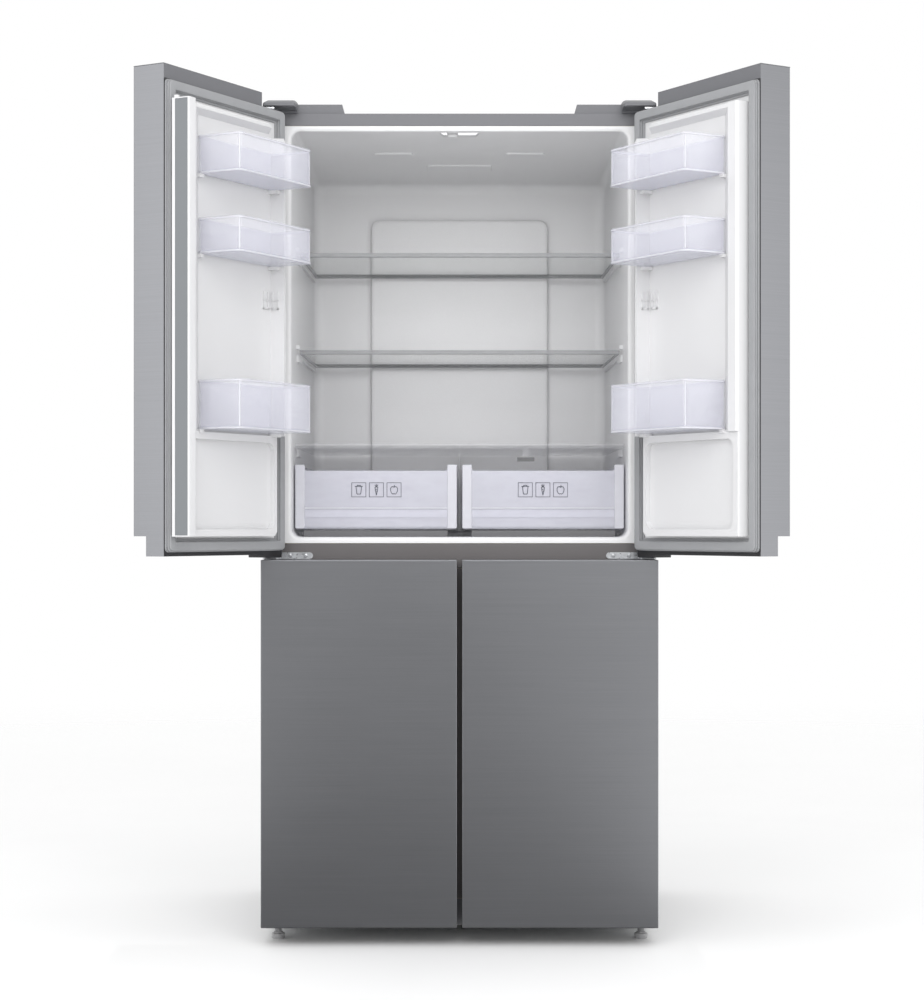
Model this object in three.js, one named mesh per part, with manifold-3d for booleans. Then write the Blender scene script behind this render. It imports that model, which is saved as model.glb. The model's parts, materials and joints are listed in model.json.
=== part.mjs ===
// A four-door French door refrigerator: two fridge doors above, standing open, and two closed freezer doors.
// Millimetres, +Z up, +X to the right, and the front faces -Y. It stands on z = 0.
// Inside the group "stand", y = 0 is the cabinet's front face. A door is drawn in its own frame: x runs
// along its width from the hinge axis, y runs from the hinge axis into the cabinet, and z is the height.
import * as THREE from "three";
import { mergeVertices } from "three/addons/utils/BufferGeometryUtils.js";
import Module from "manifold-3d";

const wasm = await Module();
wasm.setup();

// ---------------------------------------------------------------- driving dimensions
// Cabinet
const CABINET_WIDTH = 833;
const CABINET_DEPTH = 650;
const CABINET_TOP = 1762;
const CABINET_BASE = 32; // height of the cabinet's lower edge over the floor
const SHEET = 1; // painted steel sheet
const SIDE_WALL = 57.5; // cabinet's outer face to the liner, at the front
const BACK_WALL = 94; // fridge liner to the cabinet's back
const SIDE_FLANGE = 39.5; // width of the folded front flange
const TOP_RAIL = 26.4; // height of the front flange over the fridge opening
const TOE_RAIL_TOP = 88;
const RAIL_BOTTOM = 792; // rail between the fridge and the freezer
const RAIL_TOP = 845;
const RAIL_DEPTH = 20;
const POST_WIDTH = 56; // post between the two freezer openings
const REAR_PANEL = 2;

// Liners
const LINER = 2;
const FRIDGE_FLOOR = 859;
const CEILING_DROP = 38; // cabinet's top down to the ceiling, at the front
const CEILING_FALL = 28; // how much lower the ceiling is at the back
const BACK_TAPER = 12; // how much narrower each side is at the back
const LINER_CORNER = 17;
const FREEZER_RIM = 14;
const FREEZER_BACK_WALL = 105;
const MACHINE_DEPTH = 195; // compressor's compartment, at the bottom of the back
const MACHINE_HEIGHT = 203;
const MACHINE_INSULATION = 40;
const MACHINE_CHEEK = 12;
const EVAPORATOR_POCKET = { half: 190, depth: 44, low: 905, high: 1160 };

// Doors
const DOOR_THICKNESS = 74;
const DOOR_GAP = 14; // door's inner face to the cabinet's front face
const CENTRE_GAP = 11;
const LOWER_DOOR_BOTTOM = 40;
const LOWER_DOOR_TOP = 811;
const DOOR_SPLIT = 11; // between a freezer door and the fridge door above it
const DOOR_RISE = 24; // fridge doors' top over the cabinet's top
const HINGE_INSET = 12; // hinge axis in from the door's end face
const HINGE_SETBACK = 27; // hinge axis in front of the door's inner face
const LEFT_OPEN = 119.4; // degrees from closed, as it stands
const RIGHT_OPEN = 121.2;
const GRIP_HEIGHT = 39.5; // step under a fridge door's front, for the fingers
const GRIP_DEPTH = 31;
const GRIP_SLOT = { wall: 5, width: 21, depth: 23, end: 17 };
const TOP_CAP = 30.5;
const CAP_BRIM = 1.5;
const BOTTOM_CAP = 8;
const HINGE_NOTCH = { length: 74, front: 35, below: 29 }; // room for the hinge in a fridge door's top
const PIN_RADIUS = 5;
const BUSH_RADIUS = 6.5;

// Door liners, gaskets and bins
const GASKET = { inset: 3, width: 27, height: 12.5, lean: 7, seat: 8 };
const PLUG = { low: 861, top: 47, hinge: 47.5, free: 31, crest: 78, freeCrest: 62, step: 1068 };
const PLUG_FLOOR = 47;
const PLUG_CORNER = 40; // cut corner at the top of the hinge side
const PLUG_LOW_CORNER = 13; // cut corner at the bottom, clear of the liner's round one
const LOW_PLUG = { crest: 57, floor: 47, edge: 14 };
const BIN = { start: 63, end: 81, back: 50, front: 152, wall: 2.5, corner: 22 };
const BIN_HEIGHTS = { low: 98, middle: 71, top: 76.5 };
const BIN_OVER_STEP = 5; // the low bin's floor over the liner's step
const BIN_UNDER_TOP = 60.5; // the top bin's rim under the raised part's top
const BIN_RISE = 0.741; // where the middle bin stands in the free height between the other two
const FREEZER_PLUG = { crest: 47, floor: 32, gap: 4, rim: 40 };

// Folding flap between the fridge doors
const FLAP = { width: 43, thickness: 26, corner: 5, clear: 0.5, top: 1.5 };
const FLAP_PLATE = { thickness: 1.3, start: 10, end: 1, margin: 2.5 };
const FLAP_LUGS = [0.16, 0.82]; // levels as shares of the flap's height
const FLAP_LUG = { height: 28, pin: 2.5, hole: 3.2 };
const GUIDE = { half: 42, chamfer: 8, height: 6.5, depth: 24, slot: 22.5, pin: 5.5 };

// Shelves and drawers
const SHELF_LEVELS = [0.62, 0.302]; // shares of the height between crisper cover and ceiling
const SHELF = { front: 116, rearGap: 26, sideGap: 6.5, bar: 14, barHeight: 9, strip: 8, glass: 4, seat: 2.5 };
const CRISPER_FRONT = 50;
const CRISPER_COVER = { low: 1050, thickness: 6, lip: 10, web: 3 };
const CRISPER = { low: 875, high: 1014.5, frontHigh: 1001.5, wall: 3, post: 20, gap: 11, rearGap: 56 };
const DUCT = { half: 210, depth: 22, low: 870, drop: 152, wall: 2, corner: 20 };
const DRAWER = { low: 289, high: 500, wall: 3, sideGap: 6, front: 14, rearGap: 50 };

// Feet, rollers and machinery
const FOOT = { radius: 14, inset: 28.5, back: 18, pad: 12, stem: 5 };
const ROLLER = { radius: 14, width: 22, inset: 66, back: 50, axle: 4, ear: 3 };
const FIT = 0.3; // gap between pieces that touch
const SIDE_GAP = 3; // crispers and their cover to the liner's side walls

// ---------------------------------------------------------------- derived sizes
const half = CABINET_WIDTH / 2;
const openingHalf = half - SIDE_FLANGE;
const linerHalf = half - SIDE_WALL;
const ceiling = CABINET_TOP - CEILING_DROP;
const linerDepth = CABINET_DEPTH - BACK_WALL;
const freezerDepth = CABINET_DEPTH - FREEZER_BACK_WALL;
const machineFront = CABINET_DEPTH - MACHINE_DEPTH;
const machineTop = CABINET_BASE + MACHINE_HEIGHT;
const freezerLow = TOE_RAIL_TOP + FREEZER_RIM;
const freezerHigh = RAIL_BOTTOM - FREEZER_RIM;
const freezerStep = machineTop + MACHINE_INSULATION;
const freezerInner = POST_WIDTH / 2 + FREEZER_RIM;
const doorWidth = (CABINET_WIDTH - CENTRE_GAP) / 2;
const doorStart = -HINGE_INSET;
const doorEnd = doorWidth - HINGE_INSET;
const doorBack = HINGE_SETBACK;
const doorFront = HINGE_SETBACK - DOOR_THICKNESS;
const flange = HINGE_SETBACK + DOOR_GAP; // the cabinet's front face, in a closed door's frame
const hingeX = half - HINGE_INSET;
const upperDoorBottom = LOWER_DOOR_TOP + DOOR_SPLIT;
const upperDoorTop = CABINET_TOP + DOOR_RISE;
const capLine = upperDoorTop - TOP_CAP;
const notchFloor = upperDoorTop - HINGE_NOTCH.below;
const plugTop = ceiling - (PLUG.top - CEILING_DROP);
const wallSlope = BACK_TAPER / linerDepth;

// ---------------------------------------------------------------- shapes
// A closed three.js geometry as a solid that can be joined and cut.
function toSolid(geometry) {
  const bare = geometry.clone();
  bare.deleteAttribute("normal");
  bare.deleteAttribute("uv");
  const merged = mergeVertices(bare, 1e-4);
  const mesh = new wasm.Mesh({
    numProp: 3,
    vertProperties: merged.attributes.position.array,
    triVerts: new Uint32Array(merged.index.array),
  });
  return new wasm.Manifold(mesh);
}

function block(x0, x1, y0, y1, z0, z1) {
  const geometry = new THREE.BoxGeometry(x1 - x0, y1 - y0, z1 - z0);
  geometry.translate((x0 + x1) / 2, (y0 + y1) / 2, (z0 + z1) / 2);
  return toSolid(geometry);
}

// Turns of the drawing plane that put an extrusion's length along each axis.
const PLANES = {
  x: new THREE.Matrix4().makeBasis(...axes("y", "z", "x")),
  y: new THREE.Matrix4().makeBasis(...axes("z", "x", "y")),
  z: new THREE.Matrix4(),
};

function axes(...names) {
  const unit = { x: [1, 0, 0], y: [0, 1, 0], z: [0, 0, 1] };
  return names.map((name) => new THREE.Vector3(...unit[name]));
}

// An outline extruded from one station to another along an axis.
// Its points are (y, z) for x, (x, z) for y and (x, y) for z.
function prism(axis, points, from, to) {
  const flat = points.map(([a, b]) => (axis === "y" ? new THREE.Vector2(b, a) : new THREE.Vector2(a, b)));
  const options = { depth: to - from, bevelEnabled: false, steps: 1 };
  const geometry = new THREE.ExtrudeGeometry(new THREE.Shape(flat), options);
  geometry.translate(0, 0, from);
  return toSolid(geometry.applyMatrix4(PLANES[axis]));
}

function rod(x, y, z0, z1, radius, sides = 16) {
  const geometry = new THREE.CylinderGeometry(radius, radius, z1 - z0, sides);
  geometry.rotateX(Math.PI / 2);
  geometry.translate(x, y, (z0 + z1) / 2);
  return toSolid(geometry);
}

function rodAlongX(x0, x1, y, z, radius, sides = 16) {
  const geometry = new THREE.CylinderGeometry(radius, radius, x1 - x0, sides);
  geometry.rotateX(Math.PI / 2);
  geometry.rotateY(Math.PI / 2);
  geometry.translate((x0 + x1) / 2, y, z);
  return toSolid(geometry);
}

// A rectangle with round corners, anticlockwise. radii are those of the corners from (a0, b0) round.
function roundedRect(a0, a1, b0, b1, radii, steps = 4) {
  const corners = [
    [a0, b0, 1, 1, Math.PI],
    [a1, b0, -1, 1, 1.5 * Math.PI],
    [a1, b1, -1, -1, 0],
    [a0, b1, 1, -1, 0.5 * Math.PI],
  ];
  return corners.flatMap(([a, b, da, db, start], i) => {
    const radius = radii[i];
    if (!radius) return [[a, b]];
    return Array.from({ length: steps + 1 }, (_, k) => {
      const angle = start + (k * Math.PI) / 2 / steps;
      return [a + radius * (da + Math.cos(angle)), b + radius * (db + Math.sin(angle))];
    });
  });
}

// A solid through outlines of (x, z) points, each at its own y. The outlines have equal counts.
function loft(sections) {
  const count = sections[0].points.length;
  const vertices = sections.flatMap(({ y, points }) => points.map(([x, z]) => [x, y, z]));
  const faces = [];
  for (let s = 0; s + 1 < sections.length; s++)
    for (let i = 0; i < count; i++) {
      const [a, b] = [s * count + i, s * count + ((i + 1) % count)];
      faces.push(a, b + count, b, a, a + count, b + count);
    }
  const last = (sections.length - 1) * count;
  for (let i = 1; i + 1 < count; i++) faces.push(0, i, i + 1, last, last + i + 1, last + i);
  const geometry = new THREE.BufferGeometry();
  geometry.setAttribute("position", new THREE.Float32BufferAttribute(vertices.flat(), 3));
  geometry.setIndex(faces);
  return toSolid(geometry);
}

function solidOfRevolution(profile, x, y, sides = 24) {
  const points = profile.map(([radius, z]) => new THREE.Vector2(radius, z));
  const geometry = new THREE.LatheGeometry(points, sides);
  geometry.rotateX(Math.PI / 2);
  geometry.translate(x, y, 0);
  return toSolid(geometry);
}

// ---------------------------------------------------------------- scene graph
const stand = new THREE.Group();

const FINISHES = {
  brushedSteel: [0x77797d, 0.35, 0.9],
  darkPlastic: [0x55565a, 0.5, 0],
  blackPlastic: [0x17181a, 0.5, 0],
  greyPaint: [0x7c7d81, 0.45, 0.2],
  railPaint: [0x6f6c6c, 0.45, 0.2],
  white: [0xe6e7e9, 0.35, 0],
  clear: [0xd9dbe8, 0.15, 0],
  glass: [0xc4cbc9, 0.08, 0],
  rubber: [0x9fa1a3, 0.7, 0],
  zinc: [0xb9bbbf, 0.4, 0.8],
  foam: [0xd8cfa8, 0.9, 0],
  blackPaint: [0x222326, 0.45, 0.3],
  aluminium: [0xa9acb0, 0.4, 0.9],
};

function add(parent, name, solid, finish) {
  const { vertProperties, triVerts } = solid.getMesh();
  const geometry = new THREE.BufferGeometry();
  geometry.setAttribute("position", new THREE.BufferAttribute(vertProperties, 3));
  geometry.setIndex(new THREE.BufferAttribute(triVerts, 1));
  geometry.computeVertexNormals();
  const [color, roughness, metalness] = FINISHES[finish];
  const mesh = new THREE.Mesh(geometry, new THREE.MeshStandardMaterial({ color, roughness, metalness }));
  mesh.name = name;
  parent.add(mesh);
}

// The two sides, drawn as the left one. The right one is its mirror image.
const SIDES = ["left", "right"].map((side) => {
  const group = new THREE.Group();
  if (side === "right") group.scale.x = -1;
  stand.add(group);
  return { side, group };
});

// ---------------------------------------------------------------- cabinet
function fridgeCavity(grow, front = 0) {
  const at = (y) => {
    const side = linerHalf - wallSlope * y + grow;
    const top = ceiling - (CEILING_FALL * y) / linerDepth + grow;
    const radii = Array(4).fill(LINER_CORNER + grow);
    return { y, points: roundedRect(-side, side, FRIDGE_FLOOR - grow, top, radii) };
  };
  return loft([at(front), at(linerDepth + grow)]);
}

function evaporatorPocket(grow) {
  const { half: wide, depth, low, high } = EVAPORATOR_POCKET;
  const back = linerDepth + depth + grow;
  return block(-wide - grow, wide + grow, linerDepth - 5, back, low - grow, high + grow);
}

// One freezer compartment, drawn on the left. It is shallower in front of the compressor.
function freezerCavity(grow, front = 0) {
  const [outer, inner] = [-linerHalf - grow, -freezerInner + grow];
  const shallow = machineFront - MACHINE_INSULATION + grow;
  const low = block(outer, inner, front, shallow, freezerLow - grow, freezerHigh + grow);
  return low.add(block(outer, inner, front, freezerDepth + grow, freezerStep - grow, freezerHigh + grow));
}

function mirrored(solid) {
  const { vertProperties, triVerts } = solid.getMesh();
  const geometry = new THREE.BufferGeometry();
  geometry.setAttribute("position", new THREE.BufferAttribute(vertProperties, 3));
  geometry.setIndex(Array.from(triVerts, (_, i) => triVerts[i - (i % 3) + 2 - (i % 3)]));
  return toSolid(geometry.scale(-1, 1, 1));
}

const shelfHeights = SHELF_LEVELS.map((level) => {
  const coverTop = CRISPER_COVER.low + CRISPER_COVER.thickness;
  return coverTop + level * (ceiling - coverTop);
});

function buildCabinet() {
  const wrapper = block(-half, half, 0, CABINET_DEPTH, CABINET_BASE, CABINET_TOP)
    .subtract(block(-half + SHEET, half - SHEET, SHEET, CABINET_DEPTH + 1, 0, CABINET_TOP - SHEET))
    .subtract(block(-openingHalf, openingHalf, -1, 2, TOE_RAIL_TOP, CABINET_TOP - TOP_RAIL));
  add(stand, "cabinet_wrapper", wrapper, "greyPaint");

  const inner = half - SHEET - FIT;
  const roof = CABINET_TOP - SHEET - FIT;
  const back = CABINET_DEPTH - REAR_PANEL - FIT;
  const floor = CABINET_BASE + 2;
  const railSpace = RAIL_DEPTH + FIT;
  let foam = block(-inner, inner, SHEET + FIT, back, floor, roof)
    .subtract(fridgeCavity(LINER + FIT, -1))
    .subtract(evaporatorPocket(LINER + FIT))
    .subtract(freezerCavity(LINER + FIT, -1))
    .subtract(mirrored(freezerCavity(LINER + FIT, -1)))
    .subtract(block(-inner - 1, inner + 1, 0, LINER + FIT, RAIL_BOTTOM - FIT, CABINET_TOP - TOP_RAIL));
  foam = foam
    .subtract(block(-openingHalf, openingHalf, 0, LINER + FIT, TOE_RAIL_TOP, RAIL_TOP))
    .subtract(block(-openingHalf, openingHalf, 0, railSpace, RAIL_BOTTOM - FIT, RAIL_TOP + FIT))
    .subtract(block(-POST_WIDTH / 2, POST_WIDTH / 2, 0, railSpace, TOE_RAIL_TOP, RAIL_BOTTOM))
    .subtract(
      block(MACHINE_CHEEK - inner, inner - MACHINE_CHEEK, machineFront, back + 1, floor - 1, machineTop),
    );
  add(stand, "cabinet_insulation", foam, "foam");

  const panelHalf = half - SHEET - FIT;
  const rear = block(
    -panelHalf, panelHalf, CABINET_DEPTH - REAR_PANEL, CABINET_DEPTH, machineTop + FIT, roof,
  );
  add(stand, "rear_panel", rear, "zinc");

  add(stand, "center_rail", buildRail(), "railPaint");
  const postHalf = POST_WIDTH / 2 - FIT;
  const post = block(-postHalf, postHalf, 0, RAIL_DEPTH, TOE_RAIL_TOP + FIT, RAIL_BOTTOM - FIT)
    .subtract(block(-postHalf + 2, postHalf - 2, 2, RAIL_DEPTH + 1, TOE_RAIL_TOP, RAIL_BOTTOM));
  add(stand, "freezer_post", post, "railPaint");
}

// The rail is a channel, open to the back.
function buildRail() {
  const end = openingHalf - FIT;
  return block(-end, end, 0, RAIL_DEPTH, RAIL_BOTTOM + FIT, RAIL_TOP - FIT)
    .subtract(block(-end - 1, end + 1, 2, RAIL_DEPTH + 1, RAIL_BOTTOM + 2, RAIL_TOP - 2));
}

function buildLiners() {
  const rimHalf = openingHalf - FIT;
  const rimTop = CABINET_TOP - TOP_RAIL - FIT;
  const shell = fridgeCavity(LINER);
  let liner = shell
    .add(block(-rimHalf, rimHalf, 0, LINER, RAIL_TOP + FIT, rimTop))
    .add(evaporatorPocket(LINER))
    .subtract(fridgeCavity(0, -1))
    .subtract(evaporatorPocket(0));
  const [front, rear] = [SHELF.front + 2, linerDepth - SHELF.rearGap];
  const rests = [...shelfHeights.map((z) => z - FIT), CRISPER_COVER.low - FIT];
  for (const z of rests)
    for (const sign of [-1, 1]) {
      const [near, far] = [sign * (linerHalf - BACK_TAPER - 9), sign * (linerHalf + LINER)];
      const rib = block(Math.min(near, far), Math.max(near, far), front, rear, z - 10, z);
      liner = liner.add(rib.intersect(shell));
    }
  add(stand, "fridge_liner", liner, "white");

  for (const { side, group } of SIDES) {
    const [outer, inner] = [-openingHalf + FIT, -POST_WIDTH / 2 - FIT];
    const freezer = freezerCavity(LINER)
      .add(block(outer, inner, 0, LINER, TOE_RAIL_TOP + FIT, RAIL_BOTTOM - FIT))
      .subtract(freezerCavity(0, -1));
    add(group, `freezer_liner_${side}`, freezer, "white");
  }
}

// ---------------------------------------------------------------- hinges on the cabinet
function hingeCoverShell(inset) {
  const low = CABINET_TOP + FIT - (inset ? 5 : 0);
  const [outer, inner] = [-half + 0.9 + inset, -half + 70.5 - inset];
  const top = upperDoorTop + 7 - inset;
  const nose = prism("x", [
    [-58 + inset, low], [86 - inset, low], [86 - inset, top - 8], [72 - inset, top],
    [15, top], [-20, top - 7], [-48, top - 14], [-58 + inset, top - 22],
  ], outer, inner);
  const round = prism("y", [
    [outer, low - 1], [inner, low - 1], [inner, top - 7], [inner - 6, top + 0.01],
    [outer + 9, top + 0.01], [outer, top - 11],
  ], -60, 90);
  const baseTop = CABINET_TOP + 20 - inset;
  const base = prism("y", [
    [outer + 60, low], [-half + 171.5 - 1.5 * inset, low],
    [-half + 166 - 1.5 * inset, baseTop], [outer + 60, baseTop],
  ], 4 + inset, 96 - inset);
  return nose.intersect(round).add(base);
}

function buildHinges() {
  const [pinX, pinY] = [-hingeX, -flange];
  for (const { side, group } of SIDES) {
    const plateTop = CABINET_TOP + FIT + 4;
    const arm = block(pinX - 8, pinX + 14, pinY - 12, 40, CABINET_TOP + FIT, plateTop)
      .add(block(pinX - 8, pinX + 48, 20, 80, CABINET_TOP + FIT, plateTop))
      .add(rod(pinX, pinY, notchFloor - 15, plateTop - 1, PIN_RADIUS));
    add(group, `top_hinge_${side}`, arm, "zinc");
    add(group, `hinge_cover_${side}`, hingeCoverShell(0).subtract(hingeCoverShell(2.5)), "darkPlastic");

    const tongueLow = LOWER_DOOR_TOP + 0.8;
    const tongueTop = LOWER_DOOR_TOP + 4;
    const tongueEnd = roundedRect(-half + 0.5, pinX + 24, pinY - 11, -FIT, [8, 8, 0, 0], 3);
    const plate = roundedRect(-half + 0.5, -half + 104, tongueLow, LOWER_DOOR_TOP + 15, [0, 7, 7, 0], 3);
    const middle = prism("z", tongueEnd, tongueLow, tongueTop)
      .add(prism("y", plate, -3.3, -FIT))
      .add(rod(pinX, pinY, LOWER_DOOR_TOP - 15, tongueTop + 17, PIN_RADIUS));
    add(group, `middle_hinge_${side}`, middle, "zinc");

    const footLow = CABINET_BASE + 1.5;
    const bottomEnd = roundedRect(-half + 0.5, pinX + 60, pinY - 11, -FIT, [8, 8, 0, 0], 3);
    const bottom = prism("z", bottomEnd, footLow, footLow + 4)
      .add(block(-half + 0.5, pinX + 60, -3.3, -FIT, footLow, LOWER_DOOR_BOTTOM + 7))
      .add(rod(pinX, pinY, footLow + 1, LOWER_DOOR_BOTTOM + 16, PIN_RADIUS));
    add(group, `bottom_hinge_${side}`, bottom, "blackPaint");
  }
}

// ---------------------------------------------------------------- doors
function gasketRing(low, high) {
  const [x0, x1] = [doorStart + GASKET.inset, doorEnd - GASKET.inset];
  const ring = (inset, y) => ({
    y,
    points: roundedRect(x0 + inset, x1 - inset, low + inset, high - inset, [0, 0, 0, 0]),
  });
  const [base, crown] = [doorBack + FIT, doorBack + GASKET.height];
  const { lean, width } = GASKET;
  const hole = [
    ring(width, base - 1), ring(width, base), ring(width - 5, crown), ring(width - 5, crown + 1),
  ];
  return loft([ring(0, base), ring(lean, crown)]).subtract(loft(hole));
}

function upperSkin() {
  const [z0, z1] = [upperDoorBottom, upperDoorTop - CAP_BRIM - FIT];
  const { front } = HINGE_NOTCH;
  return block(doorStart, doorEnd, doorFront, doorBack, z0, z1)
    .subtract(
      block(doorStart + SHEET, doorEnd - SHEET, doorFront + SHEET, doorBack + 1, z0 - 1, z1 + 1),
    )
    .subtract(
      block(doorStart - 1, doorEnd + 1, doorFront - 1, doorFront + GRIP_DEPTH, z0 - 1, z0 + GRIP_HEIGHT),
    )
    .subtract(block(doorStart - 1, doorStart + 2 * SHEET, -front, doorBack + 1, notchFloor, z1 + 1));
}

function topCap() {
  const inset = SHEET + FIT;
  const { length, front } = HINGE_NOTCH;
  return block(doorStart + inset, doorEnd - inset, doorFront + inset, doorBack, capLine, upperDoorTop - 1)
    .add(block(doorStart, doorEnd, doorFront, doorBack, upperDoorTop - CAP_BRIM, upperDoorTop))
    .subtract(
      block(doorStart - 1, doorStart + length, -front, doorBack + 1, notchFloor, upperDoorTop + 1),
    )
    .subtract(rod(0, 0, capLine - 1, notchFloor + 1, BUSH_RADIUS));
}

// The step under the front, with the slot behind the front's lower edge where the fingers pull.
const stepTop = upperDoorBottom + GRIP_HEIGHT;
const slotTop = stepTop + GRIP_SLOT.depth;
const capBack = doorFront + GRIP_DEPTH;

function bottomCap() {
  const inset = SHEET + FIT;
  const [x0, x1] = [doorStart + inset, doorEnd - inset];
  const { wall, width, end } = GRIP_SLOT;
  const slotFront = doorFront + inset + wall;
  const stopLow = upperDoorBottom - 6;
  return block(x0, x1, capBack, doorBack, upperDoorBottom, upperDoorBottom + BOTTOM_CAP)
    .add(block(x0, x1, capBack, capBack + 3, upperDoorBottom, slotTop + 4))
    .add(block(x0, x1, doorFront + inset, capBack + 3, stepTop, slotTop + 4))
    .add(block(x0, 50, capBack, doorBack, stopLow, upperDoorBottom + 1))
    .subtract(
      block(doorStart + end, doorEnd - end, slotFront, slotFront + width, stepTop - 1, slotTop),
    )
    .subtract(rod(0, 0, stopLow - 1, upperDoorBottom + BOTTOM_CAP + 1, BUSH_RADIUS));
}

// The liner with the foam behind it. The raised part goes into the cabinet's opening.
const plugStart = PLUG.hinge;
const plugEnd = doorEnd - PLUG.free;

function upperLiner(withLugs) {
  const inset = SHEET + FIT;
  const { hinge, crest, freeCrest, low, step } = PLUG;
  const core = block(
    doorStart + inset, doorEnd - inset, doorFront + inset, doorBack,
    upperDoorBottom + BOTTOM_CAP + FIT, capLine - FIT,
  ).subtract(
    block(doorStart, doorEnd, doorFront, capBack + 3 + FIT, upperDoorBottom, slotTop + 4 + FIT),
  );
  const high = prism("z", [
    [plugStart, doorBack - 1], [plugEnd, doorBack - 1], [plugEnd, freeCrest - 4], [plugEnd - 4, freeCrest],
    [plugEnd - 28, freeCrest], [plugEnd - 55, PLUG_FLOOR], [hinge + 12.5, PLUG_FLOOR],
    [hinge + 9.5, crest], [hinge + 2.5, crest],
  ], step, plugTop);
  const shallow = prism("z", [
    [plugStart, doorBack - 1], [plugEnd, doorBack - 1], [plugEnd, LOW_PLUG.crest - 3],
    [plugEnd - 3, LOW_PLUG.crest], [hinge + 3, LOW_PLUG.crest], [hinge, LOW_PLUG.crest - 3],
  ], low, step + 0.5);
  const { edge } = LOW_PLUG;
  const recess = prism("y", roundedRect(
    hinge + edge, plugEnd - edge - 4, low + edge, step - edge, Array(4).fill(18),
  ), LOW_PLUG.floor, LOW_PLUG.crest + 1);
  const lintel = prism("x", [
    [doorBack - 1, plugTop], [freeCrest - 3, plugTop], [freeCrest, plugTop - 3],
    [freeCrest, plugTop - 9], [PLUG_FLOOR - 1, plugTop - 20], [doorBack - 1, plugTop - 20],
  ], hinge + 2.5, plugEnd - 10);
  const corner = prism("y", [
    [hinge - 1, plugTop - PLUG_CORNER], [hinge - 1, plugTop + 1], [hinge + PLUG_CORNER, plugTop + 1],
  ], doorBack + 2, crest + 1);
  const lowCorner = prism("y", [
    [hinge - 1, low - 1], [hinge + PLUG_LOW_CORNER, low - 1], [hinge - 1, low + PLUG_LOW_CORNER],
  ], doorBack + 2, crest + 1);
  let liner = core.add(high).add(shallow.subtract(recess)).add(lintel).subtract(corner).subtract(lowCorner);
  for (const { z } of binPlaces) {
    liner = liner.add(block(hinge + 8, BIN.start + 8, PLUG_FLOOR - 1, crest - 8, z - 7, z - FIT));
    const end = doorEnd - BIN.end;
    liner = liner.add(block(end - 8, end + 6, PLUG_FLOOR - 1, freeCrest - 2, z - 7, z - FIT));
  }
  if (withLugs)
    for (const z of lugHeights) {
      const lug = block(plugEnd - 16, flapPivot.x + 2, flapPivot.y - 4, flapPivot.y + 4, z, z + FLAP_LUG.height);
      liner = liner.add(lug);
      liner = liner.subtract(rod(flapPivot.x, flapPivot.y, z - 1, z + FLAP_LUG.height + 1, FLAP_LUG.hole, 8));
    }
  return liner
    .subtract(rod(0, 0, notchFloor - 18, capLine, BUSH_RADIUS))
    .subtract(rod(0, 0, upperDoorBottom, upperDoorBottom + BOTTOM_CAP + 8, BUSH_RADIUS));
}

function placeBins() {
  const low = PLUG.step + BIN_OVER_STEP;
  const top = plugTop - BIN_UNDER_TOP - BIN_HEIGHTS.top;
  const free = top - low - BIN_HEIGHTS.low - BIN_HEIGHTS.middle;
  const levels = { low, middle: low + BIN_HEIGHTS.low + BIN_RISE * free, top };
  return Object.entries(levels).map(([name, z]) => ({ name: `bin_${name}`, z, height: BIN_HEIGHTS[name] }));
}

const binPlaces = placeBins();

function bin(z, height) {
  const { start, end, back, front, wall, corner } = BIN;
  const stop = doorEnd - end;
  const outline = roundedRect(start, stop, back, front, [0, 0, corner, corner], 3);
  const hollow = roundedRect(
    start + wall, stop - wall, back + wall, front - wall, [0, 0, corner - wall, corner - wall], 3,
  );
  return prism("z", outline, z, z + height).subtract(prism("z", hollow, z + wall, z + height + 1));
}

// ---------------------------------------------------------------- flap
// Folded, its plate faces the door's free end. Unfolded by 90 degrees it spans the gap between the doors.
// The pivot is the one point whose quarter turn also centres the plate on the cabinet.
const flapFace = doorEnd + 1;
const flapStart = doorBack + GASKET.height + 5.5;
const pivotSum = flange + FLAP.clear + flapFace;
const pivotDifference = hingeX - FLAP.width / 2 - flapStart;
const flapPivot = { x: (pivotSum + pivotDifference) / 2, y: (pivotSum - pivotDifference) / 2 };
const flapLow = PLUG.low;
const flapHigh = ceiling - GUIDE.height - FLAP.top - 1.5;
const lugHeights = FLAP_LUGS.map((level) => flapLow + level * (flapHigh - flapLow));

function buildFlap(parent) {
  const { width, thickness, corner } = FLAP;
  const face = flapFace;
  const [y0, y1] = [flapStart, flapStart + width];
  const outline = roundedRect(face - thickness, face, y0, y1, Array(4).fill(corner), 3);
  const seat = FLAP_PLATE.thickness + FIT;
  const [p0, p1] = [y0 + FLAP_PLATE.start, y1 - FLAP_PLATE.end - corner / 2];
  const [low, high] = [flapLow + FLAP_PLATE.margin, flapHigh - FLAP_PLATE.margin];
  let body = prism("z", outline, flapLow, flapHigh)
    .subtract(block(face - seat, face + 1, p0 - FIT, p1 + FIT, low - FIT, high + FIT));
  for (const z of lugHeights) {
    const pocket = block(
      face - thickness - 1, flapPivot.x + 5.2, y0 - 1, flapPivot.y + 10, z - 1, z + FLAP_LUG.height + 1,
    );
    const pin = rod(flapPivot.x, flapPivot.y, z - 3, z + FLAP_LUG.height + 3, FLAP_LUG.pin, 8);
    body = body.subtract(pocket).add(pin);
  }
  body = body.add(rod(flapPivot.x, flapPivot.y, flapHigh - 1, flapHigh + 6.5, GUIDE.pin, 12));
  add(parent, "flap_body", body, "white");
  add(parent, "flap_plate", block(face - FLAP_PLATE.thickness, face, p0, p1, low, high), "greyPaint");
}

function buildFlapGuide() {
  const { half: wide, chamfer, height, depth, slot } = GUIDE;
  const top = ceiling - 1.7;
  const low = ceiling - height - 1.5;
  const outline = [[-wide + chamfer, low], [wide - chamfer, low], [wide, top], [-wide, top]];
  const centre = flapPivot.x - hingeX;
  const guide = prism("y", outline, 2, 2 + depth)
    .subtract(block(centre - slot / 2, centre + slot / 2, 0, depth, low - 1, top + 1));
  add(stand, "flap_guide", guide, "white");
}

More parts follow.
